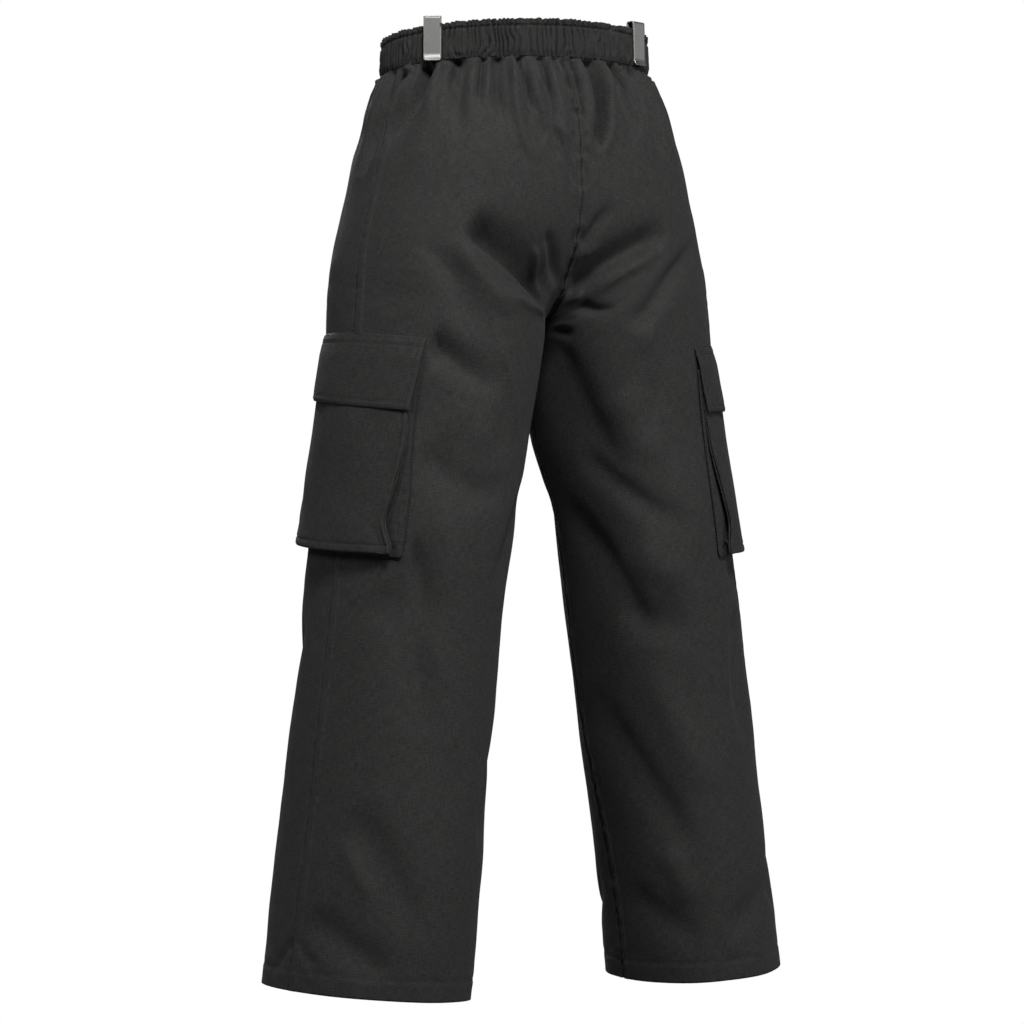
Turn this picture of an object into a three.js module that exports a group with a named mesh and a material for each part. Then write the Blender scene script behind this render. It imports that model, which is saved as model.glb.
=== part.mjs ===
// Cargo trousers with an elastic waist, standing filled out as they are worn.
// The cloth is a thin wall: four leg panels, a gathered waistband, and on each outer thigh a
// bellows pocket made of a face, a folded gusset and a flap. Two clips hook over the waistband.
//
// Millimetres, +Z up, +X to the wearer's left, +Y to the wearer's back. The origin is in the
// middle of the waist opening, level with the middle of the waistband.
//
// Every piece of cloth is placed by two lengthwise measures on one smooth surface for each side:
//   round: 0 at the seat seam and inseam, 0.5 at the side seam, 1 at the front seam and inseam
//   down:  millimetres below the waist seam, along the cloth's own length
import * as THREE from 'three';

// Cloth and seams
const WALL = 1.5;
const HEM_WALL = 2.6;
const SEAM_GAP = 0.3;
const SEAM_ROUND = 0.00035;
const SIDE_SEAM_ROUND = 0.5;
const MIDPLANE_CLEAR = 0.15;

// Lengths down the cloth
const BAND_HEIGHT = 38;
const WAIST_SEAM_Z = -18;
const HIP_LENGTH = 112;
const CROTCH_CURVE_LENGTH = 200;
const CROTCH_DOWN = HIP_LENGTH + CROTCH_CURVE_LENGTH;
const HEM_DOWN = CROTCH_DOWN + 676;
const HEM_DEPTH = 20;
const CURVE_TOP_Z = -130;
const CROTCH_Z = -288;
const SIDE_DROP = 138;
const LOW_LEG_Z = -990;
const SIDE_BLEND_LENGTH = 150;
const WAIST_GIRTH = 400;
const FULL_GIRTH = 645;
const GIRTH_START = -20;
const GIRTH_LENGTH = 320;

// How the garment stands: the waist dips to the front and to the left, the right leg is turned a little
const WAIST_BACK_RISE = 10;
const WAIST_FRONT_DIP = 15;
const WAIST_LEFT_DIP = 4;
const WAIST_SIDE_DIP = 4.5;
const WAIST_DEPTH = 105;
const WAIST_HALF = 148;
const WAIST_TILT_START = -40;
const WAIST_TILT_LENGTH = 150;
const HEM_SLOPE = 0.07;
const HEM_TILT_START = CROTCH_DOWN + 250;
const LEG_TURN = THREE.MathUtils.degToRad(18);
const INSEAM_TURN = THREE.MathUtils.degToRad(19);
const SIDE_SEAM_TURN = THREE.MathUtils.degToRad(8);
const WAIST_SEAM_TURN = THREE.MathUtils.degToRad(-14);
const RIGHT_LEG_TWIST = THREE.MathUtils.degToRad(18);
const TWIST_START_LENGTH = 120;
const UNTWIST_START = 620;
const UNTWIST_LENGTH = 340;
const SIDE_TURN = 3;
const INSEAM_CLEAR = 0.5;

// Hip sections: half width, depth to the back and to the front of the middle, and the fullness that
// squares the oval over the seat and over the thighs
const HIP = [
  { z: 40, half: 147, back: 103, front: 98, seat: 0, thigh: 0 },
  { z: 20, half: 148, back: 104, front: 99, seat: 0, thigh: 0 },
  { z: -20, half: 149.5, back: 106, front: 101, seat: 0, thigh: 0 },
  { z: -40, half: 157, back: 117, front: 106, seat: 4, thigh: 0 },
  { z: -65, half: 166.5, back: 126, front: 111, seat: 7, thigh: 0 },
  { z: -90, half: 173.5, back: 133, front: 115, seat: 9, thigh: 0 },
  { z: -120, half: 182.5, back: 137, front: 117, seat: 11, thigh: 1 },
  { z: -150, half: 189.5, back: 139.5, front: 117, seat: 12, thigh: 3 },
  { z: -180, half: 196, back: 141, front: 116, seat: 14, thigh: 6 },
  { z: -210, half: 202, back: 141, front: 113, seat: 16, thigh: 10 },
  { z: -240, half: 207.5, back: 140, front: 109, seat: 20, thigh: 15 },
  { z: -290, half: 211, back: 138, front: 104, seat: 30, thigh: 30 },
];

// Leg sections: middle, and the half lengths of the oval along and across its turned long axis
const LEG = [
  { z: -130, x: 95, y: 14, long: 130, short: 95 },
  { z: -285, x: 104.7, y: 19, long: 122, short: 103 },
  { z: -340, x: 112, y: 20.5, long: 118.5, short: 102 },
  { z: -400, x: 121.5, y: 22, long: 115.5, short: 99.5 },
  { z: -480, x: 136, y: 28, long: 115.5, short: 91.5 },
  { z: -540, x: 144.6, y: 28.6, long: 113.5, short: 90.6 },
  { z: -600, x: 152.2, y: 30, long: 111, short: 91.8 },
  { z: -660, x: 159.6, y: 31.6, long: 111, short: 92 },
  { z: -720, x: 167, y: 33, long: 112.8, short: 91.6 },
  { z: -780, x: 175.2, y: 34.8, long: 115.5, short: 90.8 },
  { z: -840, x: 183, y: 35.8, long: 117.3, short: 90.6 },
  { z: -900, x: 190.4, y: 36.3, long: 118, short: 91 },
  { z: LOW_LEG_Z, x: 201, y: 36.5, long: 118.5, short: 91.4 },
];

// Gathers below the waist seam, 11 to a panel, uneven in depth and length
const PANEL_GATHERS = 11;
const GATHER_RISE = 2.8;
const GATHER_LENGTH = 96;
const GATHER_SEAM_SHARE = 0.55;
const GATHER_SEAM_LENGTH = 12;

// Largest folds: side is 1 left, -1 right and 0 both; rise below 0 is a trough
const FOLDS = [
  { side: -1, round0: 0.083, down0: 4, round1: 0.064, down1: 118, reach: 8, rise: -7 },
  { side: 1, round0: 0.437, down0: 6, round1: 0.480, down1: 96, reach: 8, rise: -5 },
  { side: 1, round0: 0.511, down0: 20, round1: 0.575, down1: 120, reach: 10, rise: -5 },
  { side: 1, round0: 0.176, down0: 8, round1: 0.150, down1: 90, reach: 9, rise: -3 },
  { side: 1, round0: 0.285, down0: 186, round1: 0.095, down1: 250, reach: 18, rise: -9 },
  { side: 1, round0: 0.275, down0: 206, round1: 0.240, down1: 300, reach: 20, rise: 4 },
  { side: 1, round0: 0.356, down0: 227, round1: 0.311, down1: 310, reach: 16, rise: -4 },
  { side: -1, round0: 0.235, down0: 174, round1: 0.010, down1: 226, reach: 16, rise: -9 },
  { side: -1, round0: 0.363, down0: 213, round1: 0.235, down1: 318, reach: 18, rise: -5 },
  { side: 0, round0: 0.985, down0: 215, round1: 0.840, down1: 262, reach: 17, rise: -5 },
  { side: 0, round0: 0.900, down0: 150, round1: 0.760, down1: 200, reach: 18, rise: -3 },
  { side: 1, round0: 0.110, down0: 340, round1: 0.230, down1: 600, reach: 26, rise: -4 },
  { side: -1, round0: 0.150, down0: 350, round1: 0.270, down1: 560, reach: 26, rise: -4 },
  { side: 0, round0: 0.900, down0: 380, round1: 0.800, down1: 640, reach: 26, rise: -4 },
  { side: 1, round0: 0.300, down0: 640, round1: 0.170, down1: 860, reach: 28, rise: -3.5 },
  { side: -1, round0: 0.080, down0: 600, round1: 0.240, down1: 800, reach: 28, rise: -3.5 },
  { side: 0, round0: 0.620, down0: 620, round1: 0.740, down1: 840, reach: 28, rise: -3 },
];
const FOLD_FADE = 0.3;

// Rows of the leg panels: how far down, and how many columns across the panel
const PANEL_ROWS = [
  ...[0.15, 10, 24, 40, 58, 78].map((down) => ({ down, columns: 2 * PANEL_GATHERS })),
  ...[100, 126, 152, 176, 196, 215, 233, 250, 266, 281, 296].map((down) => ({ down, columns: 14 })),
  ...[CROTCH_DOWN, 327, 344, 366, 396, 434, 478, 522, 563].map((down) => ({ down, columns: 14 })),
  ...[620, 690, 762, 835, 905, HEM_DOWN - HEM_DEPTH].map((down) => ({ down, columns: 12 })),
  ...[HEM_DOWN - HEM_DEPTH + 2, HEM_DOWN].map((down) => ({ down, columns: 12 })),
];

// Waistband: how far it stands out at each row, and how deep its gathers are there
const BAND_GATHERS = 140;
const BAND_LINING_COLUMNS = 70;
const BAND_ROWS = [
  { down: -0.15, out: 0.9, wave: 0.5 },
  { down: -6, out: 1.6, wave: 0.9 },
  { down: -29.5, out: 0.7, wave: 0.4 },
  { down: -32.5, out: 1.5, wave: 0.9 },
  { down: -BAND_HEIGHT, out: 1.1, wave: 1.0 },
];

// Cargo pockets on the outer thighs
const POCKET_BACK = 0.38;
const POCKET_FRONT = 0.66;
const POCKET_CLEAR = 0.8;
const POCKET_FLAT = { round0: 0.31, round1: 0.73, roundEdge: 0.04, down0: 305, down1: 590, downEdge: 20 };
const STITCHED_BOTTOM = 550;
const FACE_TOP = 366;
const FACE_BOTTOM = 545;
const FACE_TOP_STAND = 5;
const FACE_BOTTOM_STAND = 13;
const FACE_PULL_TOP = 5;
const FACE_PULL_BOTTOM = 15;
const FACE_PULL_START = 430;
const FACE_PULL_LENGTH = 70;
const FACE_CROWN = 2;
const FACE_COLUMNS = 10;
const FACE_ROWS = 10;
const BELLOWS_WALL = 1.6;
const POCKET_TILT_BACK = 4;
const POCKET_TILT_FRONT = -11;
const BELLOWS_INSET = 6;
const BELLOWS_FOLD_AT = 0.45;
const BELLOWS_FOLD_HEIGHT = 9;
const BELLOWS_TOP = FACE_TOP + 2;
const BELLOWS_SIDE_STOPS = 8;
const BELLOWS_BOTTOM_STOPS = 10;
const FLAP_WALL = 2;
const FLAP_OVERHANG = 0.004;
const FLAP_TAPER = 0.01;
const FLAP_LINES = [
  { part: 0, stand: POCKET_CLEAR },
  { part: 0.1, stand: POCKET_CLEAR + 1.5 },
  { part: 0.2, stand: FACE_TOP_STAND + FACE_CROWN + SEAM_GAP },
  { part: 0.5, stand: FACE_TOP_STAND + 3.4 },
  { part: 0.8, stand: FACE_TOP_STAND + 4.2 },
  { part: 1, stand: FACE_TOP_STAND + 5 },
];
const FLAP_COLUMNS = 12;
const FLAP = {
  left: { front_top: 335, back_top: 346, front_bottom: 393, back_bottom: 410 },
  right: { front_top: 340, back_top: 346, front_bottom: 398, back_bottom: 406 },
};
const THIGH_GIRTH = 650;

// Waistband clips: place round the waist, and the bent strip's sizes
const CLIPS = [
  { name: 'clip_left', side: 1, round: 0.405 },
  { name: 'clip_right', side: -1, round: 0.305 },
];
const CLIP_WIDTH = 18;
const CLIP_THICKNESS = 1.6;
const CLIP_OUT = 3.9;
const CLIP_IN = -2.3;
const CLIP_RISE = 6.8;
const CLIP_INNER_LEG = 14;
const CLIP_OUTER_LEG = 33;
const CLIP_LIP = 5;
const CLIP_FLARE = 2;
const CLIP_CORNER = 2.4;

const clamp01 = (t) => Math.min(1, Math.max(0, t));

function ease(t) {
  const s = clamp01(t);
  return s * s * (3 - 2 * s);
}

function mix(a, b, t) {
  return a + (b - a) * t;
}

// Smooth curve through one column of a table, with no overshoot between its rows
function curveThrough(table, column) {
  const rows = [...table].reverse();
  const last = rows.length - 1;
  const slope = [];
  for (let i = 0; i < last; i++) {
    slope.push((rows[i + 1][column] - rows[i][column]) / (rows[i + 1].z - rows[i].z));
  }
  const tangent = rows.map((row, i) => {
    if (i === 0) return slope[0];
    if (i === last) return slope[last - 1];
    if (slope[i - 1] * slope[i] <= 0) return 0;
    const below = row.z - rows[i - 1].z;
    const above = rows[i + 1].z - row.z;
    return 3 * (below + above) / ((2 * above + below) / slope[i - 1] + (above + 2 * below) / slope[i]);
  });
  return (z) => {
    const at = Math.min(rows[last].z, Math.max(rows[0].z, z));
    let i = 0;
    while (i < last - 1 && at > rows[i + 1].z) i++;
    const h = rows[i + 1].z - rows[i].z;
    const t = (at - rows[i].z) / h;
    return rows[i][column] * (1 + 2 * t) * (1 - t) ** 2
      + rows[i + 1][column] * t * t * (3 - 2 * t)
      + tangent[i] * h * t * (1 - t) ** 2
      - tangent[i + 1] * h * t * t * (1 - t);
  };
}

const hipHalf = curveThrough(HIP, 'half');
const hipBack = curveThrough(HIP, 'back');
const hipFront = curveThrough(HIP, 'front');
const hipSeat = curveThrough(HIP, 'seat');
const hipThigh = curveThrough(HIP, 'thigh');
const legX = curveThrough(LEG, 'x');
const legY = curveThrough(LEG, 'y');
const legLong = curveThrough(LEG, 'long');
const legShort = curveThrough(LEG, 'short');

// Height of the cloth before the waist and hem are tilted
function clothHeight(round, down) {
  const across = Math.sin(Math.PI * round) ** 2;
  if (down < HIP_LENGTH) return WAIST_SEAM_Z - down;
  let inner;
  let outer;
  if (down < CROTCH_DOWN) {
    const part = (down - HIP_LENGTH) / CROTCH_CURVE_LENGTH;
    inner = CURVE_TOP_Z - (CURVE_TOP_Z - CROTCH_Z) * Math.sin(part * Math.PI / 2);
    outer = CURVE_TOP_Z - SIDE_DROP * part;
  } else {
    const below = down - CROTCH_DOWN;
    const sideLag = CURVE_TOP_Z - CROTCH_Z - SIDE_DROP;
    inner = CROTCH_Z - below;
    outer = CURVE_TOP_Z - SIDE_DROP - below - sideLag * ease(below / SIDE_BLEND_LENGTH);
  }
  return mix(inner, outer, across);
}

// The smooth surface of one side, from the oval of the hips into the turned oval of the leg
function cloth(round, down, side) {
  const across = Math.sin(Math.PI * round) ** 2;
  const z = clothHeight(round, down);
  const part = clamp01((down - HIP_LENGTH) / CROTCH_CURVE_LENGTH);
  const toLeg = mix(1 - Math.cos(part * Math.PI / 2), ease(part), clamp01(SIDE_TURN * across));

  const hipAngle = Math.PI * round + WAIST_SEAM_TURN * Math.sin(Math.PI * round);
  const behind = Math.cos(hipAngle) > 0;
  let hipX = hipHalf(z) * Math.sin(hipAngle);
  let hipY = (behind ? hipBack(z) : hipFront(z)) * Math.cos(hipAngle);
  const corner = Math.sin(2 * hipAngle) ** 2 / Math.hypot(hipX, hipY);
  const fullness = corner * (behind ? hipSeat(z) : hipThigh(z));
  hipX *= 1 + fullness;
  hipY *= 1 + fullness;

  const long = legLong(z);
  const short = legShort(z);
  const reach = Math.hypot(long * Math.sin(LEG_TURN), short * Math.cos(LEG_TURN));
  const centre = down < CROTCH_DOWN ? reach : Math.max(legX(z), reach + INSEAM_CLEAR);
  let angle = 2 * Math.PI * round + mix(INSEAM_TURN, SIDE_SEAM_TURN, across);
  if (side < 0) {
    const started = mix(ease((down - CROTCH_DOWN) / TWIST_START_LENGTH), 1, across);
    angle -= RIGHT_LEG_TWIST * started * (1 - ease((down - UNTWIST_START) / UNTWIST_LENGTH));
  }
  const alongShort = -short * Math.cos(angle);
  const alongLong = long * Math.sin(angle);
  const onLegX = centre + alongShort * Math.cos(LEG_TURN) - alongLong * Math.sin(LEG_TURN);
  const onLegY = legY(z) + alongShort * Math.sin(LEG_TURN) + alongLong * Math.cos(LEG_TURN);

  const x = mix(hipX, onLegX, toLeg);
  const y = mix(hipY, onLegY, toLeg);
  const waistTilt = (y > 0 ? WAIST_BACK_RISE : WAIST_FRONT_DIP) * y / WAIST_DEPTH
    - WAIST_LEFT_DIP * side * x / WAIST_HALF - WAIST_SIDE_DIP;
  const waistShare = 1 - ease((down - WAIST_TILT_START) / WAIST_TILT_LENGTH);
  const hemShare = ease((down - HEM_TILT_START) / (HEM_DOWN - HEM_TILT_START));
  const hemTilt = HEM_SLOPE * (x - centre);
  return new THREE.Vector3(side * x, y, z + waistShare * waistTilt + hemShare * hemTilt);
}

function outward(round, down, side) {
  const step = 0.001;
  const along = cloth(round + step, down, side).sub(cloth(round - step, down, side));
  const below = cloth(round, down + 1, side).sub(cloth(round, down - 1, side));
  return along.cross(below).normalize().multiplyScalar(side);
}

// Millimetres round one side for one step of the round measure
function girth(down) {
  return mix(WAIST_GIRTH, FULL_GIRTH, ease((down - GIRTH_START) / GIRTH_LENGTH));
}

// One fold: a soft trough or ridge along a straight line in the cloth, fading at both ends
function foldRise(fold, round, down) {
  const width = girth(down);
  const lineX = (fold.round1 - fold.round0) * width;
  const lineY = fold.down1 - fold.down0;
  const length = Math.hypot(lineX, lineY);
  const offX = (round - fold.round0) * width;
  const offY = down - fold.down0;
  const along = (offX * lineX + offY * lineY) / (length * length);
  const aside = (offX * lineY - offY * lineX) / length;
  const ends = ease(along / FOLD_FADE) * ease((1 - along) / FOLD_FADE);
  return fold.rise * ends * Math.exp(-((aside / fold.reach) ** 2));
}

// A steady unevenness between 0 and 1 for the numbered gathers
function uneven(number, pitch) {
  return Math.sin(number * pitch) ** 2;
}

// Gathers hang from the waist seam and fade down the cloth
function gatherRise(round, down) {
  const count = 2 * PANEL_GATHERS;
  const nearest = Math.floor(round * count);
  const depth = GATHER_RISE * (0.6 + 0.8 * uneven(nearest, 2.4));
  const length = GATHER_LENGTH * (0.7 + 0.5 * uneven(nearest, 1.7));
  const fade = (1 - ease(down / length)) * mix(GATHER_SEAM_SHARE, 1, ease(down / GATHER_SEAM_LENGTH));
  return -depth * fade * Math.cos(2 * Math.PI * round * count);
}

// How far the cloth stands off the smooth surface; flat under the pockets
function rise(round, down, side) {
  let total = gatherRise(round, down);
  for (const fold of FOLDS) {
    if (fold.side === 0 || fold.side === side) total += foldRise(fold, round, down);
  }
  const { round0, round1, roundEdge, down0, down1, downEdge } = POCKET_FLAT;
  const inPocketRound = ease((round - round0) / roundEdge) * ease((round1 - round) / roundEdge);
  const inPocketDown = ease((down - down0) / downEdge) * ease((down1 - down) / downEdge);
  return total * (1 - inPocketRound * inPocketDown);
}

// A point on the cloth, moved out from it, and kept clear of the middle plane
function place(round, down, side, out) {
  const normal = outward(round, down, side);
  const point = cloth(round, down, side).addScaledVector(normal, rise(round, down, side) + out);
  if (side * point.x < MIDPLANE_CLEAR) point.x = side * MIDPLANE_CLEAR;
  return point;
}

// Collects vertices and triangles, and gives a geometry whose faces point outwards
function solidBuilder() {
  const vertices = [];
  const triangles = [];
  const builder = {
    vertex(point) {
      vertices.push(point);
      return vertices.length - 1;
    },
    triangle(a, b, c) {
      triangles.push([a, b, c]);
    },
    quad(a, b, c, d) {
      const acrossAC = vertices[a].distanceTo(vertices[c]);
      const acrossBD = vertices[b].distanceTo(vertices[d]);
      if (acrossAC <= acrossBD) triangles.push([a, b, c], [a, c, d]);
      else triangles.push([a, b, d], [b, c, d]);
    },
    // Fills the strip between two lines of vertices with their own stations
    strip(above, aboveAt, below, belowAt) {
      let i = 0;
      let j = 0;
      while (i < above.length - 1 || j < below.length - 1) {
        const stepAbove = i < above.length - 1
          && (j === below.length - 1 || aboveAt[i + 1] + aboveAt[i] <= belowAt[j + 1] + belowAt[j]);
        if (stepAbove) {
          triangles.push([above[i], below[j], above[i + 1]]);
          i++;
        } else {
          triangles.push([above[i], below[j], below[j + 1]]);
          j++;
        }
      }
    },
    flipFrom(start) {
      for (let i = start; i < triangles.length; i++) triangles[i].reverse();
    },
    count() {
      return triangles.length;
    },
    geometry() {
      let volume = 0;
      for (const [a, b, c] of triangles) {
        volume += vertices[a].dot(new THREE.Vector3().crossVectors(vertices[b], vertices[c]));
      }
      const index = triangles.flatMap(([a, b, c]) => (volume > 0 ? [a, b, c] : [a, c, b]));
      const shape = new THREE.BufferGeometry();
      shape.setAttribute('position', new THREE.Float32BufferAttribute(vertices.flatMap((p) => p.toArray()), 3));
      shape.setIndex(index);
      shape.computeVertexNormals();
      return shape;
    },
  };
  return builder;
}

// A closed wall over rows of stations: an outer and an inner skin joined by rims on its four edges
function wall(rows, outerPoint, innerPoint) {
  const solid = solidBuilder();
  const outer = rows.map((row) => row.stations.map((at) => solid.vertex(outerPoint(at, row))));
  const inner = rows.map((row) => row.stations.map((at) => solid.vertex(innerPoint(at, row))));
  const skin = (layer) => {
    for (let i = 0; i < rows.length - 1; i++) {
      solid.strip(layer[i], rows[i].stations, layer[i + 1], rows[i + 1].stations);
    }
  };
  skin(outer);
  const innerStart = solid.count();
  skin(inner);
  solid.flipFrom(innerStart);
  const rim = (edge, lining) => {
    for (let i = 0; i < edge.length - 1; i++) solid.quad(edge[i], edge[i + 1], lining[i + 1], lining[i]);
  };
  const first = (layer) => layer.map((row) => row[0]);
  const last = (layer) => layer.map((row) => row[row.length - 1]);
  rim(outer[0], inner[0]);
  rim([...outer[rows.length - 1]].reverse(), [...inner[rows.length - 1]].reverse());
  rim(first(outer).reverse(), first(inner).reverse());
  rim(last(outer), last(inner));
  return solid.geometry();
}

function stations(from, to, columns) {
  return Array.from({ length: columns + 1 }, (_, i) => mix(from, to, i / columns));
}

// Leg panels: from the waist seam to the hem, thicker where the hem is turned up
function legPanel(side, from, to) {
  const rows = PANEL_ROWS.map(({ down, columns }) => ({ down, stations: stations(from, to, columns) }));
  const thickness = (down) => (down > HEM_DOWN - HEM_DEPTH ? HEM_WALL : WALL);
  return wall(
    rows,
    (round, row) => place(round, row.down, side, 0),
    (round, row) => place(round, row.down, side, -thickness(row.down)),
  );
}

// Waistband: a full ring with a ridge and a valley to each gather outside, and a plainer lining
function waistband() {
  const solid = solidBuilder();
  const around = (turn) => (turn < 0.5 ? { round: 2 * turn, side: 1 } : { round: 2 - 2 * turn, side: -1 });
  const bandPoint = (turn, down, out) => {
    const { round, side } = around(turn);
    return cloth(round, down, side).addScaledVector(outward(round, down, side), out);
  };
  const ring = (columns, down, outAt) => {
    const at = Array.from({ length: columns + 1 }, (_, i) => i / columns);
    const ids = at.slice(0, columns).map((turn, i) => solid.vertex(bandPoint(turn, down, outAt(i))));
    return { at, ids: [...ids, ids[0]] };
  };
  const outerRings = BAND_ROWS.map((row) => ring(2 * BAND_GATHERS, row.down, (i) => {
    const depth = row.wave * (0.7 + 0.6 * uneven(Math.floor(i / 2), 2.1));
    return row.out + (i % 2 === 0 ? -depth : depth);
  }));
  const liningRows = [BAND_ROWS[BAND_ROWS.length - 1], BAND_ROWS[0]];
  const liningRings = liningRows.map((row) => ring(BAND_LINING_COLUMNS, row.down, () => -WALL));
  const rings = [...outerRings, ...liningRings, outerRings[0]];
  for (let i = 0; i < rings.length - 1; i++) {
    solid.strip(rings[i].ids, rings[i].at, rings[i + 1].ids, rings[i + 1].at);
  }
  return solid.geometry();
}

// How far the face of a pocket stands off the thigh
function faceStand(down) {
  return mix(FACE_TOP_STAND, FACE_BOTTOM_STAND, clamp01((down - FACE_TOP) / (FACE_BOTTOM - FACE_TOP)));
}

// The side edges of a pocket's face are drawn in from the stitched outline as the bellows open
function facePull(down) {
  return mix(FACE_PULL_TOP, FACE_PULL_BOTTOM, ease((down - FACE_PULL_START) / FACE_PULL_LENGTH)) / THIGH_GIRTH;
}

// The foot of a pocket hangs lower at its back edge than at its front edge
function pocketTilt(round, down) {
  const across = (round - POCKET_BACK) / (POCKET_FRONT - POCKET_BACK);
  const lowered = ease((down - FACE_TOP) / (STITCHED_BOTTOM - FACE_TOP));
  return lowered * mix(POCKET_TILT_BACK, POCKET_TILT_FRONT, across);
}

function onPocket(round, down, side, stand) {
  return place(round, down + pocketTilt(round, down), side, stand);
}

function pocketFace(side) {
  const rows = Array.from({ length: FACE_ROWS + 1 }, (_, i) => {
    const down = mix(FACE_TOP, FACE_BOTTOM, i / FACE_ROWS);
    const pull = facePull(down);
    return { down, stations: stations(POCKET_BACK + pull, POCKET_FRONT - pull, FACE_COLUMNS) };
  });
  const stand = (round, down) => {
    const across = (round - POCKET_BACK) / (POCKET_FRONT - POCKET_BACK);
    return faceStand(down) + FACE_CROWN * Math.sin(Math.PI * across);
  };
  return wall(
    rows,
    (round, row) => onPocket(round, row.down, side, stand(round, row.down)),
    (round, row) => onPocket(round, row.down, side, stand(round, row.down) - WALL),
  );
}

// Gusset: a strip folded inwards, from the stitched outline on the thigh to the edge of the face
function pocketGusset(side) {
  const path = [];
  const sides = BELLOWS_SIDE_STOPS;
  const bottom = BELLOWS_BOTTOM_STOPS;
  for (let i = 0; i < sides; i++) path.push({ along: 0, down: i / sides, outX: -1, outY: 0 });
  path.push({ along: 0, down: 1, outX: -1, outY: 1 });
  for (let i = 1; i < bottom; i++) path.push({ along: i / bottom, down: 1, outX: 0, outY: 1 });
  path.push({ along: 1, down: 1, outX: 1, outY: 1 });
  for (let i = sides - 1; i >= 0; i--) path.push({ along: 1, down: i / sides, outX: 1, outY: 0 });

  const crossSection = [
    { edge: 0, stand: () => POCKET_CLEAR },
    { edge: 1, stand: (height) => POCKET_CLEAR + BELLOWS_FOLD_AT * height },
    { edge: 2, stand: (height) => POCKET_CLEAR + height },
  ];
  const point = (stop, section, inward) => {
    const faceDown = mix(BELLOWS_TOP, FACE_BOTTOM, stop.down);
    const pull = facePull(faceDown);
    const height = faceStand(faceDown) - WALL - 2 * SEAM_GAP - POCKET_CLEAR;
    const fold = BELLOWS_INSET * clamp01((height - 2) / (BELLOWS_FOLD_HEIGHT - 2));
    const inset = (section.edge === 1 ? fold : 0) + inward;
    const fromRound = section.edge === 0 ? POCKET_BACK : POCKET_BACK + pull;
    const toRound = section.edge === 0 ? POCKET_FRONT : POCKET_FRONT - pull;
    const fromDown = section.edge === 0 ? STITCHED_BOTTOM : FACE_BOTTOM;
    const round = mix(fromRound, toRound, stop.along) - stop.outX * inset / THIGH_GIRTH;
    const down = mix(BELLOWS_TOP, fromDown, stop.down) - stop.outY * inset;
    return onPocket(round, down, side, section.stand(height));
  };
  const rows = path.map((stop) => ({ stop, stations: [0, 1, 2] }));
  return wall(
    rows,
    (edge, row) => point(row.stop, crossSection[edge], 0),
    (edge, row) => point(row.stop, crossSection[edge], BELLOWS_WALL),
  );
}

// Flap: sewn to the thigh along its top edge, then lying over the top of the face
function pocketFlap(side) {
  const size = side > 0 ? FLAP.left : FLAP.right;
  const rows = FLAP_LINES.map((line) => {
    const from = POCKET_BACK - FLAP_OVERHANG + FLAP_TAPER * line.part;
    const to = POCKET_FRONT + FLAP_OVERHANG - FLAP_TAPER * line.part;
    return { line, stations: stations(from, to, FLAP_COLUMNS) };
  });
  const downAt = (round, part) => {
    const across = (POCKET_FRONT - round) / (POCKET_FRONT - POCKET_BACK);
    const top = mix(size.front_top, size.back_top, across);
    const bottom = mix(size.front_bottom, size.back_bottom, across);
    return mix(top, bottom, part);
  };
  return wall(
    rows,
    (round, row) => place(round, downAt(round, row.line.part), side, row.line.stand + FLAP_WALL),
    (round, row) => place(round, downAt(round, row.line.part), side, row.line.stand),
  );
}

// Clip: one bent strip, its side outline extruded across its width, hooked over the band's edge
function clipShape() {
  const top = CLIP_RISE;
  const outer = CLIP_OUT + CLIP_THICKNESS;
  const inner = CLIP_IN - CLIP_THICKNESS;
  const shape = new THREE.Shape();
  shape.moveTo(CLIP_IN, -CLIP_INNER_LEG);
  shape.lineTo(CLIP_IN, top);
  shape.lineTo(CLIP_OUT, top);
  shape.lineTo(CLIP_OUT, -CLIP_OUTER_LEG);
  shape.lineTo(CLIP_OUT + CLIP_FLARE, -CLIP_OUTER_LEG - CLIP_LIP);
  shape.lineTo(outer + CLIP_FLARE, -CLIP_OUTER_LEG - CLIP_LIP);
  shape.lineTo(outer, -CLIP_OUTER_LEG);
  shape.lineTo(outer, top + CLIP_THICKNESS - CLIP_CORNER);
  shape.quadraticCurveTo(outer, top + CLIP_THICKNESS, outer - CLIP_CORNER, top + CLIP_THICKNESS);
  shape.lineTo(inner + CLIP_CORNER, top + CLIP_THICKNESS);
  shape.quadraticCurveTo(inner, top + CLIP_THICKNESS, inner, top + CLIP_THICKNESS - CLIP_CORNER);
  shape.lineTo(inner, -CLIP_INNER_LEG);
  shape.closePath();
  return shape;
}

function clip(spec, material) {
  const depth = { depth: CLIP_WIDTH, bevelEnabled: false, curveSegments: 5 };
  const geometry = new THREE.ExtrudeGeometry(clipShape(), depth);
  geometry.translate(0, 0, -CLIP_WIDTH / 2);
  const mesh = new THREE.Mesh(geometry, material);
  mesh.name = spec.name;
  const seat = cloth(spec.round, -BAND_HEIGHT, spec.side);
  const out = outward(spec.round, -BAND_HEIGHT / 2, spec.side);
  const across = new THREE.Vector3().crossVectors(out, new THREE.Vector3(0, 0, 1)).normalize();
  const up = new THREE.Vector3().crossVectors(across, out);
  mesh.quaternion.setFromRotationMatrix(new THREE.Matrix4().makeBasis(out, up, across));
  mesh.position.copy(seat);
  return mesh;
}

const legCloth = new THREE.MeshStandardMaterial({ color: 0x333332, roughness: 0.85, metalness: 0 });
const bandCloth = new THREE.MeshStandardMaterial({ color: 0x313130, roughness: 0.88, metalness: 0 });
const pocketCloth = new THREE.MeshStandardMaterial({ color: 0x2e2e2d, roughness: 0.85, metalness: 0 });
const clipMetal = new THREE.MeshStandardMaterial({ color: 0x9a9a99, roughness: 0.4, metalness: 0.7 });

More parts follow.
